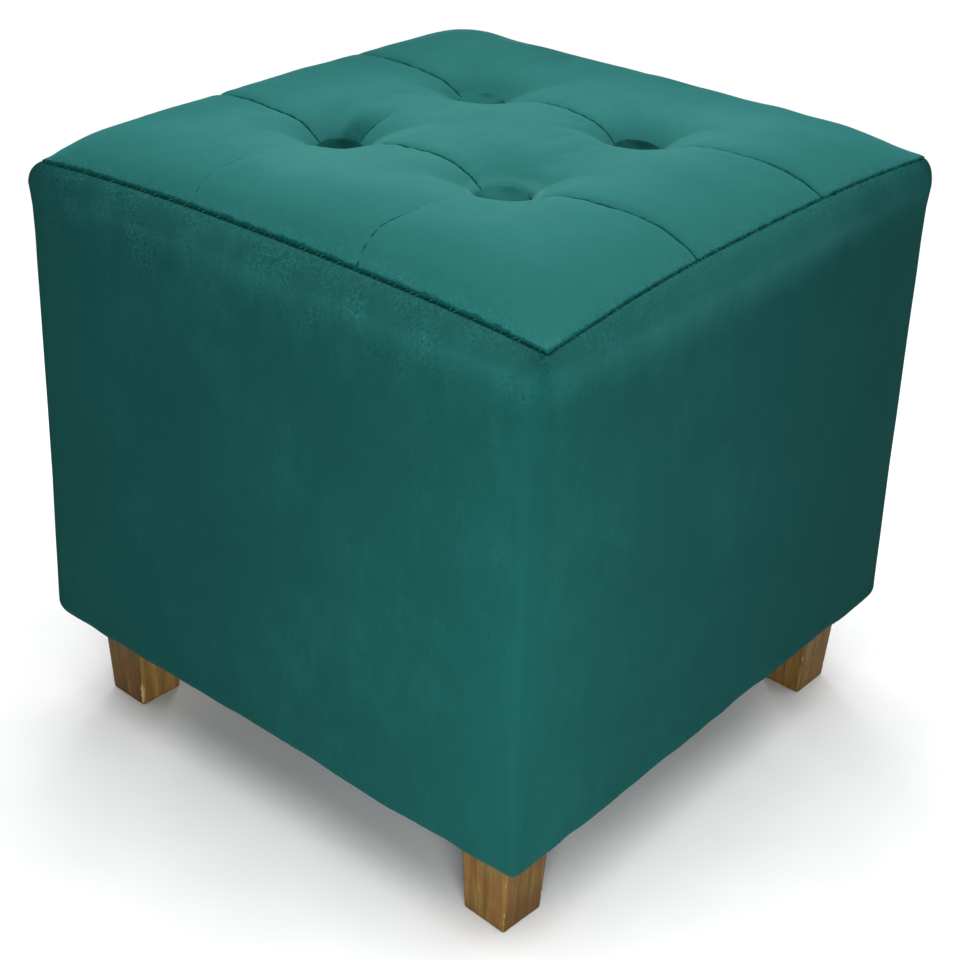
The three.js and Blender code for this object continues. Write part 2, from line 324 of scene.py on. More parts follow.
@dataclass(frozen=True)
class CutVelvet:
    """Polyester cut velvet. Its short standing pile swallows light seen end on and glows at a slant; crushed
    pile varies its tone at random, and marks on each piece lay painted light and painted shade over it.
    """

    name: str
    deep: str
    fair: str
    bloom: str
    sheen: float = 0.03
    sheen_roughness: float = 0.45
    tint: str = "#7cc8c1"
    roughness: float = 0.85
    gloss: float = 0.06
    # The pile stands 0.1 mm apart, too fine for the picture, so it is drawn at 0.9 mm
    pile_pitch: float = 0.9 * MM
    # Ruffled pile clings together in tufts of about this size, with stray hairs between them
    tuft_length: float = 2.6 * MM
    hair_width: float = 0.022
    hair_light: float = 0.3
    # How unevenly the pile's ends cover a seam's dark line
    fray: float = 0.3
    # Colour of the seams' dark lines, and of the painted shade in creases, at the wells and on the buttons
    crease: str = "#073a37"
    crush_length: float = 9 * MM
    cloud_length: float = 75 * MM
    unevenness: float = 1.0

    def material(self) -> bpy.types.Material:
        """Builds the material.

        Returns:
            The material.
        """
        material, tree = new_material(self.name)
        place = add(tree, "TexCoord").outputs["Object"]

        # Clouds a hand's width across, streaks of crushed pile and the pile itself
        clouds = add(tree, "TexNoise", {
            "Vector": place, "Scale": 1 / self.cloud_length, "Detail": 2.5, "Roughness": 0.55,
        })
        slanted = add(tree, "Mapping", {"Vector": place, "Rotation": (0.3, 0.2, 0.5), "Scale": (1, 1, 0.55)})
        crush = add(tree, "TexNoise", {
            "Vector": slanted.outputs[0], "Scale": 1 / self.crush_length, "Detail": 3, "Roughness": 0.62,
            "Distortion": 0.6,
        })
        pile = add(tree, "TexNoise", {
            "Vector": place, "Scale": 1 / self.pile_pitch, "Detail": 2, "Roughness": 0.7,
        })
        tufts = add(tree, "TexNoise", {
            "Vector": place, "Scale": 1 / self.tuft_length, "Detail": 2.5, "Roughness": 0.65,
            "Distortion": 0.5,
        })
        ruffled = add(tree, "Attribute", attribute_name="ruffled")
        creased = add(tree, "Attribute", attribute_name="creased")
        shaded = add(tree, "Attribute", attribute_name="shaded")

        # How much lighter or darker each texture makes the velvet where it is low and high
        even = self.unevenness
        weights = {
            "clouds": (clouds, -0.035 * even, 0.035 * even), "crush": (crush, -0.02 * even, 0.02 * even),
            "pile": (pile, -0.03, 0.03), "flecks": (tufts, -0.05, 0.07),
            "fray": (tufts, -self.fray, self.fray),
        }
        weighed = {
            name: add(tree, "MapRange", {
                "Value": source.outputs[0], "From Min": 0.3, "From Max": 0.7, "To Min": low, "To Max": high,
            }, clamp=False).outputs[0]
            for name, (source, low, high) in weights.items()
        }
        hairs = add(tree, "Math", {0: tufts.outputs[0], 1: 0.5, 2: self.hair_width}, operation="COMPARE")
        fuzz = add(tree, "Math", {0: hairs.outputs[0], 1: self.hair_light, 2: weighed["flecks"]},
                   operation="MULTIPLY_ADD")
        # Each piece's mark of painted light and painted shade moves the tone up or down the ramp
        tone = add(tree, "Math", {0: fuzz.outputs[0], 1: ruffled.outputs["Fac"], 2: shaded.outputs["Fac"]},
                   operation="MULTIPLY_ADD")
        for part in (weighed["clouds"], weighed["crush"], weighed["pile"], 0.5):
            tone = add(tree, "Math", {0: tone.outputs[0], 1: part}, operation="ADD")
        colour = add(tree, "ValToRGB", {"Fac": tone.outputs[0]}, ramp=[
            (0.0, self.deep), (0.5, self.fair), (1.0, self.bloom),
        ])
        frayed = add(tree, "Math", {0: creased.outputs["Fac"], 1: weighed["fray"]}, operation="ADD")
        line = add(tree, "MapRange", {"Value": frayed.outputs[0], "From Min": 0.4, "From Max": 0.75})
        dark = add(tree, "Mix", {
            "Factor": line.outputs[0], 6: colour.outputs["Color"], 7: linear(self.crease),
        }, data_type="RGBA")

        bump = add(tree, "Bump", {"Height": pile.outputs[0], "Strength": 0.22, "Distance": 0.35 * MM})
        bump = add(tree, "Bump", {
            "Height": crush.outputs[0], "Strength": 0.1, "Distance": 0.9 * MM,
            "Normal": bump.outputs["Normal"],
        })
        rough = add(tree, "Mix", {
            "Factor": tufts.outputs[0], 2: self.roughness - 0.08, 3: self.roughness + 0.08,
        })
        cloth = add(tree, "BsdfPrincipled", {
            "Base Color": dark.outputs[2], "Roughness": rough.outputs[0], "IOR": 1.45,
            "Specular IOR Level": self.gloss, "Sheen Weight": self.sheen,
            "Sheen Roughness": self.sheen_roughness, "Sheen Tint": linear(self.tint),
            "Normal": bump.outputs["Normal"],
        })
        add(tree, "OutputMaterial", {"Surface": cloth.outputs[0]})
        return material


@dataclass(frozen=True)
class StainedHardwood:
    """Rubberwood, planed, stained olive brown and thinly lacquered. Fine grain runs up each foot,
    the stain is worn pale along the arrises and gathers dark at the cut lower end.
    """

    name: str
    stain: str = "#69522c"
    dark_stain: str = "#483518"
    pale_stain: str = "#826a3e"
    warm_stain: str = "#6a4525"
    worn: str = "#a28c60"
    grime: str = "#22190c"
    roughness: float = 0.5
    # The grain's bands are about 3.2 mm wide, with lines 0.8 mm apart in them. Its pores are
    # 0.25 mm wide, and are drawn at 0.6 mm to show
    grain_width: float = 3.2 * MM
    grain_length: float = 24
    pore_width: float = 0.6 * MM
    patch_width: float = 16 * MM
    chip_width: float = 1.6 * MM

    def material(self) -> bpy.types.Material:
        """Builds the material.

        Returns:
            The material.
        """
        material, tree = new_material(self.name)
        place = add(tree, "TexCoord").outputs["Object"]
        stretched = add(tree, "Mapping", {"Vector": place, "Scale": (1, 1, 1 / self.grain_length)})
        grain = add(tree, "TexNoise", {
            "Vector": stretched.outputs[0], "Scale": 1 / self.grain_width, "Detail": 3,
            "Roughness": 0.6, "Distortion": 0.5,
        })
        pores = add(tree, "TexNoise", {
            "Vector": stretched.outputs[0], "Scale": 1 / self.pore_width, "Detail": 2, "Roughness": 0.6,
        })
        patch = add(tree, "TexNoise", {
            "Vector": place, "Scale": 1 / self.patch_width, "Detail": 2, "Roughness": 0.5,
        })
        colour = add(tree, "ValToRGB", {"Fac": grain.outputs[0]}, ramp=[
            (0.2, self.dark_stain), (0.5, self.stain), (0.8, self.pale_stain),
        ])
        warm = add(tree, "MapRange", {
            "Value": patch.outputs[0], "From Min": 0.42, "From Max": 0.66, "To Min": 0.0, "To Max": 0.55,
        })
        warmed = add(tree, "Mix", {
            "Factor": warm.outputs[0], 6: colour.outputs["Color"], 7: linear(self.warm_stain),
        }, data_type="RGBA")
        pored = add(tree, "MapRange", {
            "Value": pores.outputs[0], "From Min": 0.3, "From Max": 0.7, "To Min": 0.84, "To Max": 1.08,
        })
        lined = add(tree, "Mix", {
            "Factor": 1.0, 6: warmed.outputs[2], 7: pored.outputs[0],
        }, data_type="RGBA", blend_type="MULTIPLY")
        worn = add(tree, "Attribute", attribute_name="worn")
        soiled = add(tree, "Attribute", attribute_name="soiled")
        # Each foot's faces are painted lighter or darker, as a stand-in for the light and shade they get
        taken = add(tree, "Attribute", attribute_name="taken")
        face_shade_factor = add(tree, "Math", {0: taken.outputs["Fac"], 1: -0.6, 2: 1.0}, operation="MULTIPLY_ADD")
        stain_with_face_shade = add(tree, "Mix", {
            "Factor": 1.0, 6: lined.outputs[2], 7: face_shade_factor.outputs[0],
        }, data_type="RGBA", blend_type="MULTIPLY")
        chips = add(tree, "TexNoise", {
            "Vector": place, "Scale": 1 / self.chip_width, "Detail": 2, "Roughness": 0.6,
        })
        chipped = add(tree, "Math", {0: chips.outputs[0], 1: worn.outputs["Fac"]}, operation="ADD")
        bare = add(tree, "MapRange", {"Value": chipped.outputs[0], "From Min": 0.98, "From Max": 1.25})
        rubbed = add(tree, "Mix", {
            "Factor": bare.outputs[0], 6: stain_with_face_shade.outputs[2], 7: linear(self.worn),
        }, data_type="RGBA")
        grimy = add(tree, "Mix", {
            "Factor": soiled.outputs["Fac"], 6: rubbed.outputs[2], 7: linear(self.grime),
        }, data_type="RGBA")
        bump = add(tree, "Bump", {"Height": pores.outputs[0], "Strength": 0.2, "Distance": 0.15 * MM})
        rough = add(tree, "Mix", {
            "Factor": pores.outputs[0], 2: self.roughness - 0.06, 3: self.roughness + 0.14,
        })
        wood = add(tree, "BsdfPrincipled", {
            "Base Color": grimy.outputs[2], "Roughness": rough.outputs[0], "IOR": 1.5,
            "Specular IOR Level": 0.05, "Coat Weight": 0.01, "Coat Roughness": 0.4,
            "Normal": bump.outputs["Normal"],
        })
        add(tree, "OutputMaterial", {"Surface": wood.outputs[0]})
        return material


@dataclass(frozen=True)
class PolyesterThread:
    """Twisted polyester sewing thread, dyed to match. It is smoother than the pile around it, so
    each stitch is a faint pale fleck in the dark seam.
    """

    name: str
    colour: str = "#266f69"
    shade: str = "#0a3a36"
    # Two plies twist once in 0.9 mm
    twist: float = 0.9 * MM
    dye_patch: float = 5 * MM

    def material(self) -> bpy.types.Material:
        """Builds the material.

        Returns:
            The material.
        """
        material, tree = new_material(self.name)
        place = add(tree, "TexCoord").outputs["Object"]
        plies = add(tree, "TexWave", {
            "Vector": place, "Scale": 0.05 / self.twist, "Distortion": 1.5, "Detail": 1,
        }, bands_direction="DIAGONAL")
        dyed = add(tree, "TexNoise", {"Vector": place, "Scale": 1 / self.dye_patch, "Detail": 2})
        tone = add(tree, "Math", {0: plies.outputs["Fac"], 1: dyed.outputs[0]}, operation="MULTIPLY")
        colour = add(tree, "ValToRGB", {"Fac": tone.outputs[0]}, ramp=[
            (0.05, self.shade), (0.5, self.colour),
        ])
        bump = add(tree, "Bump", {"Height": plies.outputs["Fac"], "Strength": 0.5, "Distance": 0.1 * MM})
        thread = add(tree, "BsdfPrincipled", {
            "Base Color": colour.outputs["Color"], "Roughness": 0.7, "IOR": 1.5,
            "Specular IOR Level": 0.15, "Normal": bump.outputs["Normal"],
        })
        add(tree, "OutputMaterial", {"Surface": thread.outputs[0]})
        return material


@dataclass(frozen=True)
class PaintedFloor:
    """A matt white studio floor, very slightly mottled by its roller."""

    name: str = "matt_white_floor"
    low: str = "#f1f1f1"
    high: str = "#f6f6f6"
    mottles_per_metre: float = 12.0

    def material(self) -> bpy.types.Material:
        """Builds the material.

        Returns:
            The material.
        """
        material, tree = new_material(self.name)
        place = add(tree, "TexCoord").outputs["Object"]
        mottle = add(tree, "TexNoise", {"Vector": place, "Scale": self.mottles_per_metre, "Detail": 2})
        colour = add(tree, "ValToRGB", {"Fac": mottle.outputs[0]}, ramp=[(0.3, self.low), (0.7, self.high)])
        paint = add(tree, "BsdfPrincipled", {
            "Base Color": colour.outputs["Color"], "Roughness": 0.9, "Specular IOR Level": 0.1,
        })
        add(tree, "OutputMaterial", {"Surface": paint.outputs[0]})
        return material


# Cloth over the filling


@dataclass(frozen=True)
class Swelling:
    """Lets a coarse grid of cloth swell over its filling, with its sewn places held."""

    pressure: float = 4.0
    slack: float = 0.015
    frames: int = 20
    cap: float = 5 * MM
    quality: int = 6
    mass: float = 0.3
    stretch: float = 25
    shear: float = 10
    bending: float = 1.5

    def run(self, points: Array, faces: Sequence[Sequence[int]], held: Array) -> Array:
        """Runs the cloth simulation.

        Args:
            points: the vertices of the cloth at the start.
            faces: its faces.
            held: how firmly each vertex is held, from 0 to 1.

        Returns:
            How far each vertex has moved, none more than the cap.
        """
        cloth = add_mesh("swelling", points, faces)
        group = cloth.vertex_groups.new(name="held")
        for index, weight in enumerate(held):
            if weight > 0:
                group.add([index], float(weight), "REPLACE")
        modifier = cloth.modifiers.new("swelling", "CLOTH")
        settings = modifier.settings
        settings.quality = self.quality
        settings.mass = self.mass
        settings.tension_stiffness = self.stretch
        settings.compression_stiffness = self.stretch
        settings.shear_stiffness = self.shear
        settings.bending_stiffness = self.bending
        settings.use_pressure = True
        settings.uniform_pressure_force = self.pressure
        settings.shrink_min = -self.slack
        settings.vertex_group_mass = "held"
        settings.effector_weights.gravity = 0
        modifier.point_cache.frame_start = 1
        modifier.point_cache.frame_end = self.frames
        scene = bpy.context.scene
        for step in range(1, self.frames + 1):
            scene.frame_set(step)
        graph = bpy.context.evaluated_depsgraph_get()
        shape = cloth.evaluated_get(graph).to_mesh()
        moved = np.empty(len(points) * 3)
        shape.vertices.foreach_get("co", moved)
        moved = moved.reshape(-1, 3) - points
        far = np.linalg.norm(moved, axis=1, keepdims=True)
        mesh = cloth.data
        bpy.data.objects.remove(cloth)
        bpy.data.meshes.remove(mesh)
        scene.frame_set(1)
        return moved * np.minimum(1.0, self.cap / np.maximum(far, 1e-9))


def resample(values: Array, from_lines: Array, to_lines: Array) -> Array:
    """Values of a square grid, read between its lines at the lines of another.

    Args:
        values: one value at each crossing of from_lines.
        from_lines: places of the lines along both axes.
        to_lines: places of the new lines along both axes.

    Returns:
        One value at each crossing of to_lines.
    """
    rows = np.array([np.interp(to_lines, from_lines, row) for row in values])
    return np.array([np.interp(to_lines, from_lines, column) for column in rows.T]).T


def blurred(values: Array, lines: int) -> Array:
    """Evens out the values of a grid.

    Args:
        values: one value at each crossing of the grid's lines.
        lines: over how many lines they are evened out.

    Returns:
        The evened values.
    """
    places = np.arange(-2 * lines, 2 * lines + 1)
    weights = bell(places, lines)
    weights /= weights.sum()
    wide = np.pad(values, 2 * lines, mode="edge")
    rows = np.array([np.convolve(row, weights, mode="valid") for row in wide])
    return np.array([np.convolve(column, weights, mode="valid") for column in rows.T]).T


@dataclass(frozen=True)
class TuftButton:
    """One covered button: where it sits and how deep, and how it leans, in degrees. Its last two fields give
    the painted shade over the whole button, below 0 darker, and how far painted shade from its well covers
    it.
    """

    name: str
    column: int
    row: int
    shift: tuple[float, float]
    sink: float
    lean: tuple[float, float]
    shade: float
    painted_well_shade: float

    def centre(self, tuft: float) -> tuple[float, float]:
        """The button's plan position."""
        return self.column * tuft + self.shift[0], self.row * tuft + self.shift[1]


BUTTONS = (
    TuftButton("back", -1, 1, (0.2 * MM, 0), 5.2 * MM, (2, -3), 0.0, 0.0),
    TuftButton("front", 1, -1, (-1.2 * MM, -0.8 * MM), 6.8 * MM, (-1, 3), 0.0, 0.0),
    TuftButton("left", -1, -1, (-2 * MM, -1.6 * MM), 7.7 * MM, (3, 2), -0.34, 0.45),
    TuftButton("right", 1, 1, (-1 * MM, -0.6 * MM), 8.1 * MM, (-2, 3), -0.32, 0.42),
)


@dataclass
class TopPanel:
    """The filled top: nine swells between two seams, two stitched tucks and four button wells."""

    tuft: float = 54.8 * MM
    crown: float = 14 * MM
    # How fast the crown rises from the front, right, back and left edges
    crown_reach: tuple[float, ...] = (10.5 * MM, 22 * MM, 10.3 * MM, 7.6 * MM)
    swell_reach: float = 22 * MM
    # As a share of the distance from a tufting line to the middle
    swell_spread: float = 1.2
    seam_depth: float = 0.8 * MM
    tuck_depth: float = 1.5 * MM
    tuck_softness: float = 9 * MM
    roundness: float = 0.6
    funnel_pull: float = 23.7 * MM
    funnel_reach: float = 16.7 * MM
    # Right of the buttons both seams were sewn askew, and drift towards the back up to the edge
    seam_drift: float = 10 * MM
    drift_from: float = 67.8 * MM
    drift_curve: float = 1.5
    edge: float = 0.9 * MM
    tucked_in: float = 0.6 * MM
    bow_depth: int = 4
    # Depth and width of the hollows that the sewing leaves
    seam_cut: tuple[float, float] = (1.3 * MM, 0.9 * MM)
    seam_hollow: tuple[float, float] = (0.7 * MM, 4 * MM)
    tuck_cut: tuple[float, float] = (0.45 * MM, 0.9 * MM)
    tuck_hollow: tuple[float, float] = (0.5 * MM, 5 * MM)
    rim_cut: tuple[float, float] = (0.9 * MM, 0.7 * MM)
    # Height and length of the puckers, their reach from the sewing, and the slow waves between
    seam_puckers: tuple[float, float] = (0.22 * MM, 9 * MM)
    edge_puckers: tuple[float, float] = (0.25 * MM, 12 * MM)
    pucker_reach: float = 7 * MM
    slow_waves: tuple[float, float] = (0.35 * MM, 46 * MM)
    # Half widths of the dark lines in the seams, the tucks and the perimeter seam. The tucks' line is also
    # painted shade along their fold
    seam_line: float = 1.5 * MM
    tuck_line: float = 1.3 * MM
    rim_line: float = 1.35 * MM
    well_radius: float = 13.3 * MM
    well_wall: float = 1 * MM
    well_edge: tuple[float, float] = (-0.4 * MM, 0.2 * MM)
    # A well draws the velvet down no further from its button than this
    well_reach: float = 45 * MM
    lip_reach: float = 4.5 * MM
    # The velvet dives to a little below the button's widest place, this far over the well's floor
    lip_over_floor: float = 2.4 * MM
    round_until: float = 16 * MM
    square_from: float = 40 * MM
    lip_drop: float = 4.4 * MM
    # Filling of the swells, by row from the front to the back
    fills: tuple[tuple[float, ...], ...] = ((-1.4, 3.5, 3.5), (-0.4, 1.8, 1.7), (-1.6, -1.4, -1.4))
    finest: float = 0.35 * MM
    coarsest: float = 2.4 * MM
    growth: float = 0.22
    # The simulated sheet's lines, how far under its form it starts, and what is kept of it
    coarse_lines: int = 81
    swell_room: float = 1.2 * MM
    crease_share: float = 0.28
    crease_lines: int = 6
    # Painted light and shade: on slopes, by the edge, on full filling, to the back, by the front corner
    slope_shade_pull: float = 0.2
    slope_shade_limit: float = 0.22
    edge_shade: float = -0.1
    full_filling_light: float = 0.08
    back_shade: float = -0.22
    front_corner_shade: float = -0.03
    # A patch painted paler: its place, reach and tone
    pale_patch_at: tuple[float, float] = (-19 * MM, -122 * MM)
    pale_patch_reach: float = 38 * MM
    pale_patch_tone: float = 0.11
    # The fold behind the left button, with ruffled pile and painted shade: its middle and reach along Y, its
    # end at the button's side, and its length
    crush_middle: float = 18 * MM
    crush_reach: float = 12 * MM
    crush_end: float = 4 * MM
    crush_length: float = 19 * MM
    fold_shade_tone: float = -0.55
    lip_highlight: float = 0.12
    swelling: Swelling = field(default_factory=Swelling)

    def lines(self) -> Array:
        """Places of the grid lines along one axis, close together at the seams and wells.

        Returns:
            The places, from the left edge to the right.
        """
        dense = [self.tuft, SEAM.half]
        fine_rings = [self.tuft - self.well_radius - self.well_wall,
                      self.tuft + self.well_radius + self.well_wall]
        half = [0.0]
        while half[-1] < SEAM.half - self.finest / 2:
            here = half[-1]
            near = min(abs(here + self.finest / 2 - d) for d in dense)
            ring = min(abs(here - d) for d in fine_rings)
            step = min(self.finest + self.growth * near, 2 * self.finest + self.growth * ring,
                       self.coarsest)
            ahead = [d for d in dense if d > here + self.finest / 4]
            if ahead and here + 1.4 * step > ahead[0]:
                step = ahead[0] - here
            half.append(here + step)
        half = np.array(half)
        return np.concatenate([-half[:0:-1], half])

    def inside(self, grid_x: Array, grid_y: Array) -> Array:
        """How far each grid place is from the nearest edge."""
        return np.minimum(SEAM.half - np.abs(grid_x), SEAM.half - np.abs(grid_y))

    def filled(self, place: Array, softness: float = 0) -> Array:
        """How much of a channel's depth is filled again at a place across it, 0 to 1."""
        distance = np.hypot(np.abs(place) - self.tuft, softness)
        return np.sin(math.pi / 2 * np.minimum(distance / self.tuft, 1)) ** self.roundness

    def swell(self, x: Array, y: Array) -> Array:
        """Extra filling of the nine swells, flowing from each one's middle into the next.

        Args:
            x: places along X.
            y: places along Y.

        Returns:
            The extra height at each place.
        """
        spread = self.swell_spread * self.tuft
        total = weights = 0.0
        for row, fills in enumerate(self.fills):
            for column, fill in enumerate(fills):
                weight = bell(x - (column - 1) * 2 * self.tuft, spread)
                weight = weight * bell(y - (row - 1) * 2 * self.tuft, spread)
                total = total + weight * fill * MM
                weights = weights + weight
        return total / weights

    def drift(self, x: Array, y: Array) -> Array:
        """How far the seams' drift moves a plan position towards the back."""
        share = np.clip((x - self.drift_from) / (SEAM.half - self.drift_from), 0, 1)
        return self.seam_drift * share ** self.drift_curve * (1 - (y / SEAM.half) ** 2)

    def surface(self, x: Array, y: Array) -> Array:
        """Height of the velvet between the buttons, before folds and stitches.

        Args:
            x: places along X, before the seams' drift.
            y: places along Y, before the seams' drift.

        Returns:
            The height at each place.
        """
        u, v = x / SEAM.half, (y + self.drift(x, y)) / SEAM.half
        inside = [SEAM.half + y, SEAM.half - x, SEAM.half - y, SEAM.half + x]
        edge = np.prod([1 - np.exp(-d / reach) for d, reach in zip(inside, self.crown_reach)], axis=0)
        nearest = [np.minimum(inside[0], inside[2]), np.minimum(inside[1], inside[3])]
        soft_edge = np.prod([1 - np.exp(-d / self.swell_reach) for d in nearest], axis=0)
        channels = self.seam_depth * self.filled(y) + self.tuck_depth * self.filled(x, self.tuck_softness)
        crown = (self.crown + self.swell(x, y)) * edge + channels * soft_edge
        funnels = sum(
            self.funnel_pull * np.exp(-np.hypot(x - b.centre(self.tuft)[0], y - b.centre(self.tuft)[1])
                                      / self.funnel_reach)
            for b in BUTTONS
        )
        return SEAM.height(u, v) + self.edge + GAP + crown - funnels * edge

    def well_floor(self, button: TuftButton) -> float:
        """Level of a well's floor, a little below the lowest place on the rim of its funnel.

        Args:
            button: the button in the well.

        Returns:
            The floor's height.
        """
        x, y = button.centre(self.tuft)
        rim = self.surface(np.array([x]), np.array([y - self.well_radius - self.well_wall]))
        return float(rim[0]) - button.sink

    def rounded(self, x: Array, y: Array) -> tuple[Array, Array, Array]:
        """Bends the grid to circles near the buttons.

        Args:
            x: grid places along X.
            y: grid places along Y.

        Returns:
            The bent x and y, and the distance from the nearest button's middle.
        """
        radius = np.full(x.shape, 1.0)
        for button in BUTTONS:
            dx, dy = x - button.column * self.tuft, y - button.row * self.tuft
            square = np.maximum(np.abs(dx), np.abs(dy))
            near = 1 - smooth(square, self.round_until, self.square_from)
            stretch = near * (square / np.maximum(np.hypot(dx, dy), 1e-9) - 1)
            x = x + dx * stretch + button.shift[0] * near
            y = y + dy * stretch + button.shift[1] * near
            radius = np.minimum(radius, square)
        return x, y, radius

    def plan(self, grid_x: Array, grid_y: Array, x: Array, y: Array) -> tuple[Array, Array]:
        """Draws the edges in between the corners, as the seam does.

        Args:
            grid_x: grid places along X.
            grid_y: grid places along Y.
            x: the same along X, bent round the buttons.
            y: the same along Y, bent round the buttons.

        Returns:
            The x and y that the panel's vertices get.
        """
        pull = SEAM.pull(x, y)
        drift = self.drift(x, y)
        bow_x = mix(1, SEAM.half_at((grid_y + drift) / SEAM.half) / SEAM.half,
                    np.abs(grid_x / SEAM.half) ** self.bow_depth)
        bow_y = mix(1, SEAM.half_at(grid_x / SEAM.half) / SEAM.half,
                    np.abs(grid_y / SEAM.half) ** self.bow_depth)
        return x * bow_x + pull[0], (y + drift) * bow_y + pull[1]

    def swollen(self, lines: Array) -> Array:
        """Creases of the cloth as it swells over the filling, on a coarse grid of its own. The
        crown itself stays as the photo shows it.

        Args:
            lines: the fine grid's lines.

        Returns:
            The creases' height at each crossing of the fine lines.
        """
        coarse = np.linspace(-SEAM.half, SEAM.half, self.coarse_lines)
        grid_x, grid_y = np.meshgrid(coarse, coarse)
        x, y, radius = self.rounded(grid_x, grid_y)
        plan_x, plan_y = self.plan(grid_x, grid_y, x, y)
        inside = self.inside(grid_x, grid_y)
        slimmer = self.swell_room * smooth(inside, 0, 12 * MM) * smooth(radius, 14 * MM, 26 * MM)
        height = self.surface(x, y) - slimmer
        # Firmly held by the edge and at the wells, and a little less so along the seams
        held = np.clip(1 - smooth(inside, 1 * MM, 5 * MM)
                       + 1 - smooth(radius, 14 * MM, 19 * MM)
                       + 0.8 * (1 - smooth(np.abs(np.abs(grid_y) - self.tuft), 1 * MM, 4 * MM)), 0, 1)
        points = np.column_stack([plan_x.ravel(), plan_y.ravel(), height.ravel()])
        moved = self.swelling.run(points, grid_faces(len(coarse)), held.ravel())[:, 2].reshape(grid_x.shape)
        clear = smooth(inside, 4 * MM, 34 * MM) * smooth(radius, 14 * MM, 24 * MM)
        creases = clear * (moved - blurred(moved, self.crease_lines))
        return resample(self.crease_share * creases, coarse, lines)

    def folds(self, grid_x: Array, grid_y: Array, radius: Array) -> Array:
        """Height that the sewing adds: the hollows of seams and tucks, puckers and slow waves.

        Args:
            grid_x: grid places along X.
            grid_y: grid places along Y.
            radius: the distance from the nearest button's middle.

        Returns:
            The added height at each grid place, mostly below 0.
        """
        from_seam = np.abs(np.abs(grid_y) - self.tuft)
        from_tuck = np.abs(np.abs(grid_x) - self.tuft)
        clear = smooth(radius, 12 * MM, 20 * MM)
        inside = self.inside(grid_x, grid_y)
        tuck_mark = self.tuck_mark(grid_x, grid_y)
        height = -self.seam_cut[0] * np.exp(-from_seam / self.seam_cut[1])
        height -= self.seam_hollow[0] * bell(from_seam, self.seam_hollow[1])
        # The puckers run across the seam, so they are slow along Y
        puckers = self.seam_puckers[0] * Ripples(self.seam_puckers[1], 3).at(grid_x, grid_y * 0.15)
        height += puckers * bell(from_seam, self.pucker_reach) * clear
        height -= self.tuck_cut[0] * np.exp(-from_tuck / self.tuck_cut[1]) * tuck_mark
        height -= self.tuck_hollow[0] * bell(from_tuck, self.tuck_hollow[1]) * clear * tuck_mark
        puckers = self.edge_puckers[0] * Ripples(self.edge_puckers[1], 5).at(grid_x, grid_y)
        height += puckers * bell(inside - 2 * MM, self.pucker_reach)
        waves = self.slow_waves[0] * Ripples(self.slow_waves[1], 11).at(grid_x, grid_y)
        return height + waves * smooth(inside, 0, 20 * MM)

    def tuck_mark(self, grid_x: Array, grid_y: Array) -> Array:
        """Where the tucks that run along Y show: by the front edge, and behind the left button.

        Args:
            grid_x: grid places along X.
            grid_y: grid places along Y.

        Returns:
            How strongly a tuck shows at each place, from nearly 0 to 1.
        """
        by_button = bell(grid_x + self.tuft, 8 * MM) * bell(grid_y + self.tuft - 22 * MM, 14 * MM)
        near_edge = smooth(-grid_y, 100 * MM, 135 * MM)
        return 0.04 + mix(0.55, 0.85, smooth(grid_x, 0, 20 * MM)) * near_edge + by_button

    def build(self) -> bpy.types.Object:
        """Builds the panel.

        Returns:
            The panel.
        """
        lines = self.lines()
        grid_x, grid_y = np.meshgrid(lines, lines)
        x, y, radius = self.rounded(grid_x, grid_y)
        plan_x, plan_y = self.plan(grid_x, grid_y, x, y)
        height = self.surface(x, y) + self.swollen(lines) + self.folds(grid_x, grid_y, radius)
        inside = self.inside(grid_x, grid_y)
        height -= self.rim_cut[0] * np.exp(-inside / self.rim_cut[1])
        height = self.sink_wells(height, grid_x, grid_y, radius)
        points = [np.column_stack([plan_x.ravel(), plan_y.ravel(), height.ravel()])]
        faces = grid_faces(len(lines))
        self.close_below(lines, points, faces)
        points = np.vstack(points)
        marks = self.marks(height, lines, grid_x, grid_y, radius, len(points))
        return add_mesh("tufted_top", points, faces, **marks)

    def sink_wells(self, height: Array, grid_x: Array, grid_y: Array, radius: Array) -> Array:
        """Draws the velvet down to each button's edge and into the well below it.

        Args:
            height: the panel's height at each grid place.
            grid_x: grid places along X.
            grid_y: grid places along Y.
            radius: the distance from the nearest button's middle.

        Returns:
            The height with the wells in it.
        """
        for button in BUTTONS:
            apart = np.hypot(grid_x - button.column * self.tuft, grid_y - button.row * self.tuft)
            floor = self.well_floor(button)
            lip = floor + self.lip_over_floor
            outside = np.maximum(radius - self.well_radius, 0)
            drawn = mix(height, np.minimum(height, lip), np.exp(-outside / self.lip_reach))
            into = 1 - smooth(radius - self.well_radius, *self.well_edge)
            height = np.where(apart < self.well_reach, mix(drawn, floor, into), height)
        return height

    def on_right(self, x: Array, y: Array) -> Array:
        """1 by the right and the back edge and 0 by the other two."""
        return smooth(x + y, 0, 20 * MM)

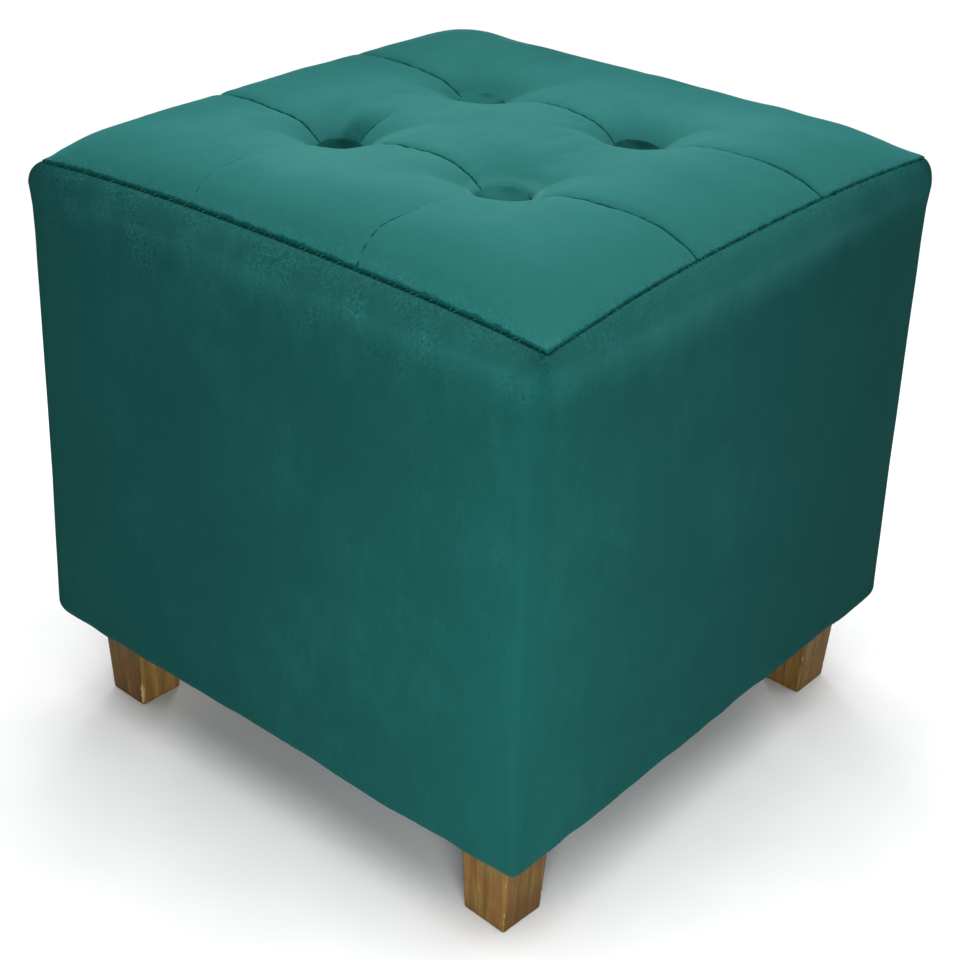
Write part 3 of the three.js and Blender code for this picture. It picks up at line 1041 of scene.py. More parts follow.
    def painted_light_and_shade(self, height: Array, lines: Array, grid_x: Array, grid_y: Array, inside: Array) -> Array:
        """Painted light and shade on the panel: painted light where it is full, painted shade on the slopes
        that fall towards the front corner, by the edges, towards the back and by the front corner, and a
        patch painted paler.

        Args:
            height: the panel's height at each grid place.
            lines: the grid's lines.
            grid_x: grid places along X.
            grid_y: grid places along Y.
            inside: the distance from the nearest edge.

        Returns:
            How much lighter, or below 0 darker, each place is.
        """
        down_y, down_x = np.gradient(height, lines, lines)
        forward = np.clip((down_y - down_x) * self.slope_shade_pull, -self.slope_shade_limit / 4, self.slope_shade_limit)
        full = smooth(inside, 4 * MM, 75 * MM)
        toward_back = smooth(grid_y - grid_x, 20 * MM, 220 * MM)
        front_corner = bell(np.hypot(grid_x - SEAM.half, grid_y + SEAM.half), 75 * MM)
        pale_patch = bell(np.hypot(grid_x - self.pale_patch_at[0], grid_y - self.pale_patch_at[1]),
                       self.pale_patch_reach)
        return (mix(self.edge_shade, self.full_filling_light, full) - forward + self.back_shade * toward_back
                + self.front_corner_shade * front_corner + self.pale_patch_tone * pale_patch)

    def marks(self, height: Array, lines: Array, grid_x: Array, grid_y: Array, radius: Array,
              count: int) -> dict[str, Array]:
        """Marks that the velvet reads.

        Args:
            height: the panel's height at each grid place.
            lines: the grid's lines.
            grid_x: grid places along X.
            grid_y: grid places along Y.
            radius: the distance from the nearest button's middle.
            count: how many vertices the whole panel has.

        Returns:
            The dark seam lines with painted shade in the tucks' fold and at the wells, ruffled pile, and
            painted light and shade at each vertex, by name.
        """
        from_seam = np.abs(np.abs(grid_y) - self.tuft)
        from_tuck = np.abs(np.abs(grid_x) - self.tuft)
        inside = self.inside(grid_x, grid_y)
        clear = smooth(radius, 11 * MM, 14 * MM)
        fading = Ripples(4.5 * MM, 13).at(grid_x, grid_y)
        creased = 1.15 * np.clip(1 - from_seam / self.seam_line, 0, 1) * clear
        # The tucks' dark line, which behind the left button is painted shade of its fold
        tuck = np.clip(0.9 + 0.35 * fading, 0, 1.15) * self.tuck_mark(grid_x, grid_y)
        creased += np.clip(1 - from_tuck / self.tuck_line, 0, 1) * tuck * clear
        creased += mix(1.1, 0.85, self.on_right(grid_x, grid_y)) * np.clip(1 - inside / self.rim_line, 0, 1)
        # Painted shade where the velvet dives into each well
        creased += 1 - smooth(radius - self.well_radius, -0.2 * MM, 0.7 * MM)
        ruffled = 0.25 * bell(inside, 16 * MM) + 0.6 * bell(inside, 3 * MM)
        left_x, left_y = next(b for b in BUTTONS if b.name == "left").centre(self.tuft)
        fold_shade_and_ruffle = bell(grid_y - left_y - self.crush_middle, self.crush_reach)
        fold_shade_and_ruffle *= smooth(left_x + self.crush_end - grid_x, 0, 2.5 * MM)
        fold_shade_and_ruffle *= smooth(grid_x - left_x + self.crush_length, 0, 12 * MM)
        ruffled += fold_shade_and_ruffle
        shaded = self.painted_light_and_shade(height, lines, grid_x, grid_y, inside) + self.fold_shade_tone * fold_shade_and_ruffle
        # A painted highlight on the lip of each well where it turns to the front corner
        for button in BUTTONS:
            dx, dy = grid_x - button.column * self.tuft, grid_y - button.row * self.tuft
            ahead = (dx - dy) / np.maximum(math.sqrt(2) * np.hypot(dx, dy), 1e-9)
            on_lip = bell(radius - self.well_radius - 4 * MM, 2.5 * MM)
            shaded += self.lip_highlight * smooth(ahead, 0.3, 0.9) * on_lip
        marks = {"creased": np.clip(creased, 0, 1.2), "ruffled": ruffled, "shaded": shaded}
        hidden = np.zeros(count - height.size)
        return {name: np.concatenate([values.ravel(), hidden]) for name, values in marks.items()}

    def close_below(self, lines: Array, points: list[Array], faces: list[tuple[int, ...]]) -> None:
        """Closes the hidden underside, which steps down from the rim to its bed.

        Args:
            lines: the grid's lines.
            points: arrays of vertices, the grid's first. Three rings and a middle are added.
            faces: the faces, to which the underside's are added.
        """
        count = len(lines)
        last = count - 1
        rim = ([(i, 0) for i in range(last)] + [(last, i) for i in range(last)]
               + [(last - i, last) for i in range(last)] + [(0, last - i) for i in range(last)])
        columns, rows = np.array(rim).T
        upper = rows * count + columns
        edge = points[0][upper]
        x, y = lines[columns], lines[rows]
        seam = SEAM.height(x / SEAM.half, (y + self.drift(x, y)) / SEAM.half)
        steps = (
            (self.tucked_in, seam + GAP - 0.9 * MM),
            (SEAM.lip, seam - self.lip_drop),
            (SEAM.half - SEAM.bed_half, np.full(len(rim), SEAM.bed_height + GAP)),
        )
        start = len(points[0])
        for inset, height in steps:
            scale = 1 - inset / SEAM.half
            points.append(np.column_stack([edge[:, 0] * scale, edge[:, 1] * scale, height]))
            lower = np.arange(start, start + len(rim))
            for i in range(len(rim)):
                after = (i + 1) % len(rim)
                faces.append((upper[i], lower[i], lower[after], upper[after]))
            upper, start = lower, start + len(rim)
        points.append(np.array([[0, 0, SEAM.bed_height + GAP]]))
        for i in range(len(rim)):
            faces.append((upper[i], start, upper[(i + 1) % len(rim)]))

    def dress(self, piece: bpy.types.Object, velvet: bpy.types.Material) -> None:
        """Gives the panel its velvet and tells the frame what it is.

        Args:
            piece: the panel.
            velvet: its material.
        """
        piece.data.materials.append(velvet)
        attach(piece, BODY)
        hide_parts("top_panel")


@dataclass
class SideCover:
    """The band of velvet around the filled body, rolled over the top edge to the seam and turned
    under at the foot.
    """

    width: float = 350 * MM
    underside: float = 51 * MM
    shift: tuple[float, float] = (-1.3 * MM, -0.2 * MM)
    # (height, how far the wall stands in from its widest), in mm
    wall: tuple[tuple[float, float], ...] = (
        (64, 0), (97, 0.5), (155, 1.3), (233, 2.6), (292, 3.5), (310, 3.4), (322, 2.7)
    )
    wall_corner: float = 8.7 * MM
    foot_corner: float = 4.5 * MM
    bottom_roll: float = 13 * MM
    bottom_corner: float = 1.5 * MM
    top_turn: float = math.radians(72)
    # How far the roll reaches over the top edge to the seam
    roll_width: float = 12 * MM
    lip_drop: float = 6 * MM
    # Sags of the lower edge: side, place along it, reach and drop, in mm
    sags: tuple[tuple[Side, float, float, float], ...] = (
        (Side.FRONT, 88, 38, 3.4), (Side.FRONT, -20, 60, -1.2), (Side.RIGHT, 60, 60, -1.4),
        (Side.RIGHT, 150, 14, 2.6), (Side.BACK, 60, 45, 2), (Side.LEFT, -40, 50, 1.8),
    )
    sag_fade: int = 8
    sag_held: float = 0.5
    # The filling pushes the walls out between the corners, most at half height
    bulge: float = 2.6 * MM
    bulge_reach: float = 15 * MM
    # Height and length of the waves left by hand: two slow ones, and puckers at seam and foot
    slow_waves: tuple[float, float] = (0.45 * MM, 120 * MM)
    short_waves: tuple[float, float] = (0.16 * MM, 38 * MM)
    seam_puckers: tuple[float, float] = (0.22 * MM, 11 * MM)
    foot_puckers: tuple[float, float] = (0.3 * MM, 26 * MM)
    seam_cut: tuple[float, float] = (0.7 * MM, 1 * MM)
    seam_line: float = 2 * MM
    side_steps: int = 110
    corner_steps: int = 8
    wall_step: float = 4 * MM
    roll_steps: int = 12

    def stations(self) -> tuple[Array, Array]:
        """Places of a side's points.

        Returns:
            The share along the side of each, from -1 to 1, and its turn round the corner.
        """
        shares = np.linspace(-1, 1, self.side_steps + 1)
        turns = np.linspace(0, math.pi / 2, self.corner_steps + 1)[1:-1]
        return (np.concatenate([shares, np.ones(len(turns))]),
                np.concatenate([np.zeros(len(shares)), turns]))

    def ring(self, corner: float, seamward: float, half: Callable[[Array], Any],
             height: Callable[[Side, Array], Any]) -> Array:
        """One ring of the cover.

        Args:
            corner: radius of its corners.
            seamward: 0 where it lies with the body and 1 where it lies with the seam.
            half: half width at shares along a side.
            height: height on a side at shares along it.

        Returns:
            The ring's points.
        """
        shares, turns = self.stations()
        parts = []
        for side in Side:
            straight = half(shares) - corner
            along = shares * straight + corner * np.sin(turns)
            out = straight + corner * np.cos(turns)
            x = along * side.along[0] + out * side.out[0]
            y = along * side.along[1] + out * side.out[1]
            pull = SEAM.pull(x, y)
            parts.append(np.column_stack([
                x + mix(self.shift[0], pull[0], seamward),
                y + mix(self.shift[1], pull[1], seamward),
                height(side, shares) + 0 * x,
            ]))
        return np.vstack(parts)

    def sag(self, side: Side, shares: Array) -> Array:
        """How far the slack of the lower edge hangs.

        Args:
            side: the side it is on.
            shares: places along it, from -1 to 1.

        Returns:
            The drop at each place.
        """
        along = shares * self.width / 2
        drop = sum(d * MM * bell(along - a * MM, r * MM) for s, a, r, d in self.sags if s == side)
        return (drop + np.zeros(len(shares))) * (1 - np.abs(shares) ** self.sag_fade)

    def rings(self) -> tuple[list[Array], list[float]]:
        """Lays out the cover in rings from the underside up to the bed.

        Returns:
            The rings, and how far each is from the seam.
        """
        heights = np.array([h for h, _ in self.wall]) * MM
        halves = self.width / 2 - np.array([inset for _, inset in self.wall]) * MM
        rings, from_seam = [], []

        for angle in np.linspace(0, math.pi / 2, self.roll_steps + 1):
            half = halves[0] - self.bottom_roll * (1 - math.sin(angle))
            level = self.underside + self.bottom_roll * (1 - math.cos(angle))
            corner = mix(self.bottom_corner, self.foot_corner, math.sin(angle))
            hang = math.sin(angle) * (1 - self.sag_held * math.sin(angle) ** 2)
            rings.append(self.ring(corner, 0, lambda s, h=half: h + 0 * s,
                                   lambda side, s, z=level, k=hang: z - k * self.sag(side, s)))
            from_seam.append(heights[-1] - level + self.roll_width)

        steps = int((heights[-1] - heights[0]) / self.wall_step)
        for step in range(1, steps + 1):
            level = mix(heights[0], heights[-1], step / steps)
            half = float(np.interp(level, heights, halves))
            held = self.sag_held * bell(level - heights[0], 12 * MM)
            corner = mix(self.foot_corner, self.wall_corner, min(1, 3 * step / steps))
            rings.append(self.ring(corner, 0, lambda s, h=half: h + 0 * s,
                                   lambda side, s, z=level, k=held: z - k * self.sag(side, s)))
            from_seam.append(heights[-1] - level + self.roll_width)

        shoulder, half = heights[-1], halves[-1]
        turns = np.linspace(0, self.top_turn, self.roll_steps + 1)[1:]
        for angle in np.concatenate([turns[:-2], np.linspace(turns[-3], turns[-1], 9)[1:]]):
            rise = math.sin(angle) / math.sin(self.top_turn)
            inward = (1 - math.cos(angle)) / (1 - math.cos(self.top_turn))
            rings.append(self.ring(
                mix(self.wall_corner, SEAM.corner, inward), inward,
                lambda s, k=inward: mix(half, SEAM.half_at(s), k),
                lambda side, s, k=rise: mix(shoulder, self.seam_on(side, s), k)))
            from_seam.append(self.roll_width * (1 - inward))
        rings.append(self.ring(SEAM.corner, 1, lambda s: SEAM.half_at(s) - SEAM.lip,
                               lambda side, s: self.seam_on(side, s) - self.lip_drop))
        rings.append(self.ring(SEAM.corner, 1, lambda s: SEAM.bed_half + 0 * s,
                               lambda side, s: SEAM.bed_height + 0 * s))
        from_seam += [0.0, 0.0]
        return rings, from_seam

    def seam_on(self, side: Side, shares: Array) -> Array:
        """Height of the seam on a side.

        Args:
            side: the side.
            shares: places along it, from -1 to 1.

        Returns:
            The height at each place.
        """
        u = shares * side.along[0] + side.out[0]
        v = shares * side.along[1] + side.out[1]
        return SEAM.height(u, v)

    def build(self) -> bpy.types.Object:
        """Builds the cover.

        Returns:
            The cover.
        """
        rings, from_seam = self.rings()
        count = len(rings[0])
        away = np.repeat(from_seam, count)
        points = self.worked(np.vstack(rings), away)
        points = np.vstack([points, [[0, 0, self.underside], [0, 0, SEAM.bed_height]]])
        faces = ring_faces(len(rings), count) + cap_faces(len(rings), count)
        away = np.concatenate([away, [1.0, 0.0]])
        return add_mesh("side_cover_velvet", points, faces, **self.marks(points, away))

    def worked(self, points: Array, away: Array) -> Array:
        """Adds the filling's push and the unevenness left by hand.

        Args:
            points: the vertices of the rings.
            away: how far each is from the seam.

        Returns:
            The moved vertices.
        """
        x, y, z = points.T
        across = np.hypot(x, y)
        outward = np.column_stack([x, y]) / across[:, None]
        facing = np.where(np.abs(x) > np.abs(y), 1.0, 0.0)
        normal = np.column_stack([np.sign(x) * facing, np.sign(y) * (1 - facing)])
        on_wall = smooth(z, 52 * MM, 66 * MM) * smooth(away, 0.5 * MM, 10 * MM)
        from_corner = np.abs(np.abs(x) - np.abs(y))
        corner = bell(from_corner, 12 * MM)
        rise = smooth(z, 50 * MM, 110 * MM) * smooth(away, 2 * MM, 60 * MM)
        bulge = self.bulge * (1 - np.exp(-from_corner / self.bulge_reach)) * rise
        slow = self.slow_waves[0] * Ripples(self.slow_waves[1], 21).at(x, y, z)
        slow += self.short_waves[0] * Ripples(self.short_waves[1], 22).at(x, y, z)
        puckers = self.seam_puckers[0] * Ripples(self.seam_puckers[1], 23).at(x, y, z * 0.2)
        puckers *= bell(away - 6 * MM, 6 * MM)
        foot = self.foot_puckers[0] * Ripples(self.foot_puckers[1], 24).at(x, y, z * 0.3)
        foot *= bell(z - 58 * MM, 8 * MM)
        amount = ((slow * (1 - corner) + puckers) * on_wall + foot + bulge)[:, None]
        points = points.copy()
        points[:, :2] += mix(normal, outward, corner[:, None]) * amount
        points[:, 2] -= self.seam_cut[0] * np.exp(-away / self.seam_cut[1]) * (away > 0)
        return points

    def marks(self, points: Array, away: Array) -> dict[str, Array]:
        """Marks that the velvet reads.

        Args:
            points: the cover's vertices.
            away: how far each is from the seam.

        Returns:
            The seam's dark line, the ruffled pile under it and painted light and shade, with painted light
            over the roll, by name.
        """
        x, y, z = points.T
        # 1 on the walls that face along X and 0 on those that face along Y
        facing = smooth(np.abs(x) - np.abs(y), -10 * MM, 10 * MM)
        creased = mix(1.2, 0.7, facing) * np.clip(1 - away / self.seam_line, 0, 1)
        by_front = bell(np.hypot(x - 165 * MM, y + 165 * MM), 55 * MM)
        patchy = mix(0.8 - 0.5 * by_front, 0.3, facing) * (0.7 + 0.5 * Ripples(30 * MM, 31).at(x, y, z))
        band = bell(np.maximum(away - self.roll_width, 0), 20 * MM) * patchy + 0.7 * bell(away, 5 * MM)
        near_left = bell(np.hypot(x + 165 * MM, y + 165 * MM), 80 * MM)
        from_corner = np.abs(np.abs(x) - np.abs(y))
        # Painted light over the roll under the seam, less near the corners
        roll = mix(0.28, 0.24 + 0.2 * smooth(y, -140 * MM, 60 * MM), facing)
        near_right = bell(np.hypot(x - 165 * MM, y - 165 * MM), 70 * MM)
        roll -= 0.12 * (near_left + near_right) + 0.1 * bell(from_corner, 25 * MM)
        shaded = roll * (1 - smooth(away, -6 * MM, 27 * MM + 9 * MM * facing))
        # Painted shade on the corners with a faint painted light beside it, and painted shade that deepens
        # the walls towards the back and the left
        shaded += 0.01 * bell(from_corner, 32 * MM) - 0.16 * bell(from_corner, 7 * MM)
        shaded -= mix(0.02, 0.14, facing) * (1 - smooth(x - y, 0, 220 * MM))
        return {"creased": np.clip(creased, 0, 1), "ruffled": np.clip(band, 0, 1), "shaded": shaded}

    def dress(self, piece: bpy.types.Object, velvet: bpy.types.Material) -> None:
        """Gives the cover its velvet and tells the frame what it is.

        Args:
            piece: the cover.
            velvet: its material.
        """
        piece.data.materials.append(velvet)
        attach(piece, BODY)
        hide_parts("side_cover")


@dataclass
class CoveredButtons:
    """Four metal-backed buttons covered in the same velvet."""

    radius: float = 12.8 * MM
    dome: float = 4.4 * MM
    skirt: float = 2.8 * MM
    fullness: float = 0.8
    gather: float = 0.25 * MM
    dent: float = 0.2 * MM
    segments: int = 96
    rings: int = 14

    def build(self, button: TuftButton, level: float, tuft: float) -> bpy.types.Object:
        """Builds one button.

        Args:
            button: which one.
            level: height of its underside.
            tuft: distance of the tufting lines from the middle.

        Returns:
            The button.
        """
        # Shares of the radius and of the skirt's height, from the back plate up
        profile = [(0.86, 0.0), (0.93, 0.12), (0.97, 0.45), (0.995, 0.8), (1.0, 1.0)]
        radii = [r * self.radius for r, _ in profile]
        heights = [h * self.skirt for _, h in profile]
        for angle in np.linspace(0, math.pi / 2, self.rings + 1)[1:-1]:
            radii.append(self.radius * math.cos(angle) ** self.fullness)
            heights.append(self.skirt + self.dome * math.sin(angle))
        turns = np.arange(self.segments) / self.segments * 2 * math.pi
        radius = np.repeat(radii, self.segments)
        turn = np.tile(turns, len(radii))
        height = np.repeat(heights, self.segments)
        x, y = radius * np.cos(turn), radius * np.sin(turn)
        seed = 50 + len(button.name)
        gathers = Ripples(0.5, seed).at(np.cos(turn), np.sin(turn)) * self.gather
        rim = bell(height - 0.6 * self.skirt, 1.6 * MM)
        x = x + np.cos(turn) * gathers * rim
        y = y + np.sin(turn) * gathers * rim
        dents = self.dent * Ripples(11 * MM, seed + 9).at(x, y)
        height = height + dents * smooth(height, 2 * MM, 4 * MM)
        crest = self.skirt + self.dome
        points = np.vstack([np.column_stack([x, y, height]), [[0, 0, 0], [0, 0, crest]]])
        lean = Matrix.Rotation(math.radians(button.lean[0]), 3, "X") @ Matrix.Rotation(
            math.radians(button.lean[1]), 3, "Y")
        points = (points - [0, 0, self.skirt]) @ np.array(lean).T + [0, 0, self.skirt]
        centre = button.centre(tuft)
        points += [centre[0], centre[1], level]
        faces = ring_faces(len(radii), self.segments) + cap_faces(len(radii), self.segments)
        # Painted light on the side turned to the back and painted shade in a patch at the middle
        back = (points[:, 1] - points[:, 0] - centre[1] + centre[0]) / (math.sqrt(2) * self.radius)
        right = (points[:, 0] + points[:, 1] - centre[0] - centre[1]) / (math.sqrt(2) * self.radius)
        patch = bell(np.hypot(back + 0.1, right - 0.25), 0.5)
        shaded = button.shade + 0.2 * smooth(back, 0.3, 0.9) - 0.2 * patch
        # Painted shade at the foot of the skirt, deep in the well, and over the whole button as far as its
        # well's painted shade reaches
        creased = np.concatenate([0.75 * bell(np.repeat(heights, self.segments), 1.1 * MM), [1.0, 0.0]])
        creased = np.maximum(creased, button.painted_well_shade)
        return add_mesh(f"covered_button_{button.name}", points, faces, shaded=shaded, creased=creased)

    def dress(self, piece: bpy.types.Object, button: TuftButton, velvet: bpy.types.Material) -> None:
        """Gives a button its velvet and tells the frame what it is.

        Args:
            piece: the button.
            button: which one it is.
            velvet: its material.
        """
        piece.data.materials.append(velvet)
        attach(piece, BODY)
        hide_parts(f"button_{button.name}")


@dataclass
class SeamStitches:
    """Stitches of the perimeter seam, lying across its groove like the rungs of a ladder."""

    pitch: float = 3.5 * MM
    thread: float = 0.22 * MM
    reach: float = 1.3 * MM
    # How high a stitch lies over the seam, how it humps and how far its inner end climbs
    rise: float = 0.15 * MM
    hump: float = 0.25 * MM
    climb: float = 0.6 * MM
    sides: int = 6
    steps: int = 4

    def build(self) -> bpy.types.Object:
        """Builds all stitches as one piece.

        Returns:
            The stitches.
        """
        rng = np.random.default_rng(71)
        points: list[Array] = []
        faces: list[tuple[int, ...]] = []
        count = int(2 * SEAM.half / self.pitch)
        for side in Side:
            length = self.reach if side in (Side.FRONT, Side.LEFT) else 0.6 * self.reach
            for i in range(1, count):
                share = -1 + 2 * (i + rng.uniform(-0.15, 0.15)) / count
                self.add_stitch(side, share, length * rng.uniform(0.8, 1.2), rng.uniform(-0.5, 0.5),
                                points, faces)
        return add_mesh("seam_stitches", np.vstack(points), faces)

    def add_stitch(self, side: Side, share: float, reach: float, slant: float,
                   points: list[Array], faces: list[tuple[int, ...]]) -> None:
        """Adds one stitch.

        Args:
            side: the side it is on.
            share: its place along the side, from -1 to 1.
            reach: half its length.
            slant: how far it slants, as a share of its length.
            points: arrays of vertices, to which its own are added.
            faces: faces, to which its own are added.
        """
        half = float(SEAM.half_at(np.array(share)))
        u = share * side.along[0] + side.out[0]
        v = share * side.along[1] + side.out[1]
        level = float(SEAM.height(np.array(u), np.array(v)))
        along = np.array([*side.along, 0.0])
        out = np.array([*side.out, 0.0])
        middle = along * share * half + out * half
        pull = SEAM.pull(middle[0], middle[1])
        middle = middle + [pull[0], pull[1], level + self.rise]
        up = np.array([0, 0, 1.0])
        start = sum(len(p) for p in points)
        rings = []
        for step in range(self.steps + 1):
            t = 2 * step / self.steps - 1
            lift = self.hump * (1 - t * t) + self.climb * max(-t, 0)
            centre = middle + (out + along * slant) * t * reach + up * lift
            size = self.thread * (0.55 + 0.45 * (1 - t * t))
            around = np.arange(self.sides) / self.sides * 2 * math.pi
            rings.append(centre + size * (np.outer(np.cos(around), along) + np.outer(np.sin(around), up)))
        points.append(np.vstack(rings))
        for face in ring_faces(self.steps + 1, self.sides):
            faces.append(tuple(start + corner for corner in face))
        faces.append(tuple(start + i for i in reversed(range(self.sides))))
        faces.append(tuple(start + self.steps * self.sides + i for i in range(self.sides)))

    def dress(self, piece: bpy.types.Object, thread: bpy.types.Material) -> None:
        """Gives the stitches their thread and tells the frame what they ride on.

        Args:
            piece: the stitches.
            thread: their material.
        """
        piece.data.materials.append(thread)
        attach(piece, BODY)


@dataclass
class TaperedFeet:
    """Four square blocks that taper to the floor, with eased and worn arrises."""

    base: float = 28.2 * MM
    top: float = 32.4 * MM
    height: float = 50.7 * MM
    ease: float = 1.3 * MM
    # How far and how high the edge by the floor is rounded, and how high it is soiled
    worn_in: float = 0.9 * MM
    worn_up: float = 1.1 * MM
    soil_height: float = 1 * MM
    dent_width: float = 5 * MM
    dent_share: float = 0.03
    ease_steps: int = 4
    face_steps: int = 14
    rise_steps: int = 34

    def places(self) -> dict[str, tuple[float, float, float]]:
        """Where each foot stands, in mm, and by how many degrees it is turned."""
        return {
            "back": (-141.5, 141.5, 0), "front": (142, -142.9, -3.5),
            "left": (-140.6, -140.8, -2), "right": (142.8, 139.5, -1),
        }

    def section(self, half: float, ease: float) -> tuple[Array, Array, Array]:
        """One level of a foot.

        Args:
            half: half its width.
            ease: radius of its arrises.

        Returns:
            The points' x and y, and how close each is to an arris, 0 to 1.
        """
        xs, ys, near = [], [], []
        for turn in range(4):
            start = turn * math.pi / 2
            for i in range(self.ease_steps + 1):
                angle = start + i / self.ease_steps * math.pi / 2
                centre = start + math.pi / 4
                xs.append(math.sqrt(2) * (half - ease) * math.cos(centre) + ease * math.cos(angle))
                ys.append(math.sqrt(2) * (half - ease) * math.sin(centre) + ease * math.sin(angle))
                near.append(1 - 0.7 * abs(2 * i / self.ease_steps - 1))
            end = start + math.pi / 2
            for i in range(1, self.face_steps):
                share = i / self.face_steps
                run = (half - ease) * (1 - 2 * share)
                xs.append(half * math.cos(end) + run * math.sin(end))
                ys.append(half * math.sin(end) - run * math.cos(end))
                near.append(0.3 * math.exp(-min(share, 1 - share) * 2 * (half - ease) / (1.2 * MM)))
        return np.array(xs), np.array(ys), np.array(near)

    def build(self, name: str) -> bpy.types.Object:
        """Builds one foot.

        Args:
            name: which foot.

        Returns:
            The foot.
        """
        place_x, place_y, turn = self.places()[name]
        middle = [place_x * MM, place_y * MM]
        seed = 80 + sorted(self.places()).index(name)
        # Levels in mm, close together where the edge by the floor is rounded
        levels = [0, 0.25, 0.6, 1.1, *np.linspace(1.8, self.height / MM, self.rise_steps)]
        points, arris, low = [], [], []
        for level in np.array(levels) * MM:
            share = level / self.height
            eased = self.worn_in * (1 - smooth(np.array(level), 0, self.worn_up)) ** 1.5
            half = mix(self.base, self.top, share) / 2 - float(eased)
            x, y, near = self.section(half, self.ease)
            points.append(np.column_stack([x, y, np.full(len(x), level)]))
            arris.append(near)
            low.append(np.full(len(x), float(np.exp(-level / self.soil_height))))
        count = len(points[0])
        rings = len(points)
        points = np.vstack(points)
        arris, low = np.concatenate(arris), np.concatenate(low)
        dents = np.clip(Ripples(self.dent_width, seed).at(*points.T) - 0.9, 0, 1) * np.maximum(arris, low)
        points[:, :2] *= (1 - self.dent_share * dents)[:, None]
        front_arris = smooth(points[:, 0] - points[:, 1], 24 * MM, 27 * MM)
        right_face = smooth(points[:, 0] - np.abs(points[:, 1]), -1 * MM, 1 * MM)
        lowest = 1 - smooth(points[:, 2], 10 * MM, 24 * MM)
        rubbed, taken = self.marks_of(name, front_arris, right_face, lowest)
        across, along = math.cos(math.radians(turn)), math.sin(math.radians(turn))
        points[:, :2] = points[:, :2] @ np.array([[across, along], [-along, across]]) + middle
        faces = ring_faces(rings, count) + cap_faces(rings, count)
        points = np.vstack([points, [[*middle, 0], [*middle, self.height]]])
        arris = np.concatenate([arris, [0, 0]])
        low = np.concatenate([low, [1, 0]])
        patchy = Ripples(7 * MM, seed + 10).at(*points.T)
        rubbed, taken = np.concatenate([rubbed, [0, 0]]), np.concatenate([taken, [0, 0]])
        worn = np.clip(arris * (0.46 + 0.1 * patchy) + rubbed, 0, 1) * (1 - low)
        soiled = np.clip(low * (0.75 + 0.3 * patchy), 0, 1)
        return add_mesh(f"wooden_foot_{name}", points, faces, worn=worn, soiled=soiled, taken=taken)

    def marks_of(self, name: str, front_arris: Array, right_face: Array,
                 lowest: Array) -> tuple[Array, Array]:
        """How each foot is worn in its own way, and how its faces are painted lighter or darker.

        Args:
            name: which foot.
            front_arris: 1 by the arris nearest the pouf's front corner, 0 away from it.
            right_face: 1 on the face turned to the right.
            lowest: 1 by the floor and 0 higher up.

        Returns:
            The extra wear, and how much painted shade each face gets, below 0 where it is painted lighter
            instead.
        """
        # Painted light on the left foot's right face and painted shade on the front foot's right face
        if name == "left":
            return 0.45 * front_arris * lowest, 0.12 - 1.0 * right_face + 0.3 * front_arris
        if name == "front":
            return 0.02 * front_arris, 0.5 * right_face * (0.6 + 0.4 * lowest)
        return 0.02 * front_arris, -0.2 * right_face

    def dress(self, piece: bpy.types.Object, name: str, wood: bpy.types.Material) -> None:
        """Gives a foot its wood and tells the frame what it is.

        Args:
            piece: the foot.
            name: which one it is.
            wood: its material.
        """
        piece.data.materials.append(wood)
        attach(piece, BODY)
        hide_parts(f"foot_{name}")


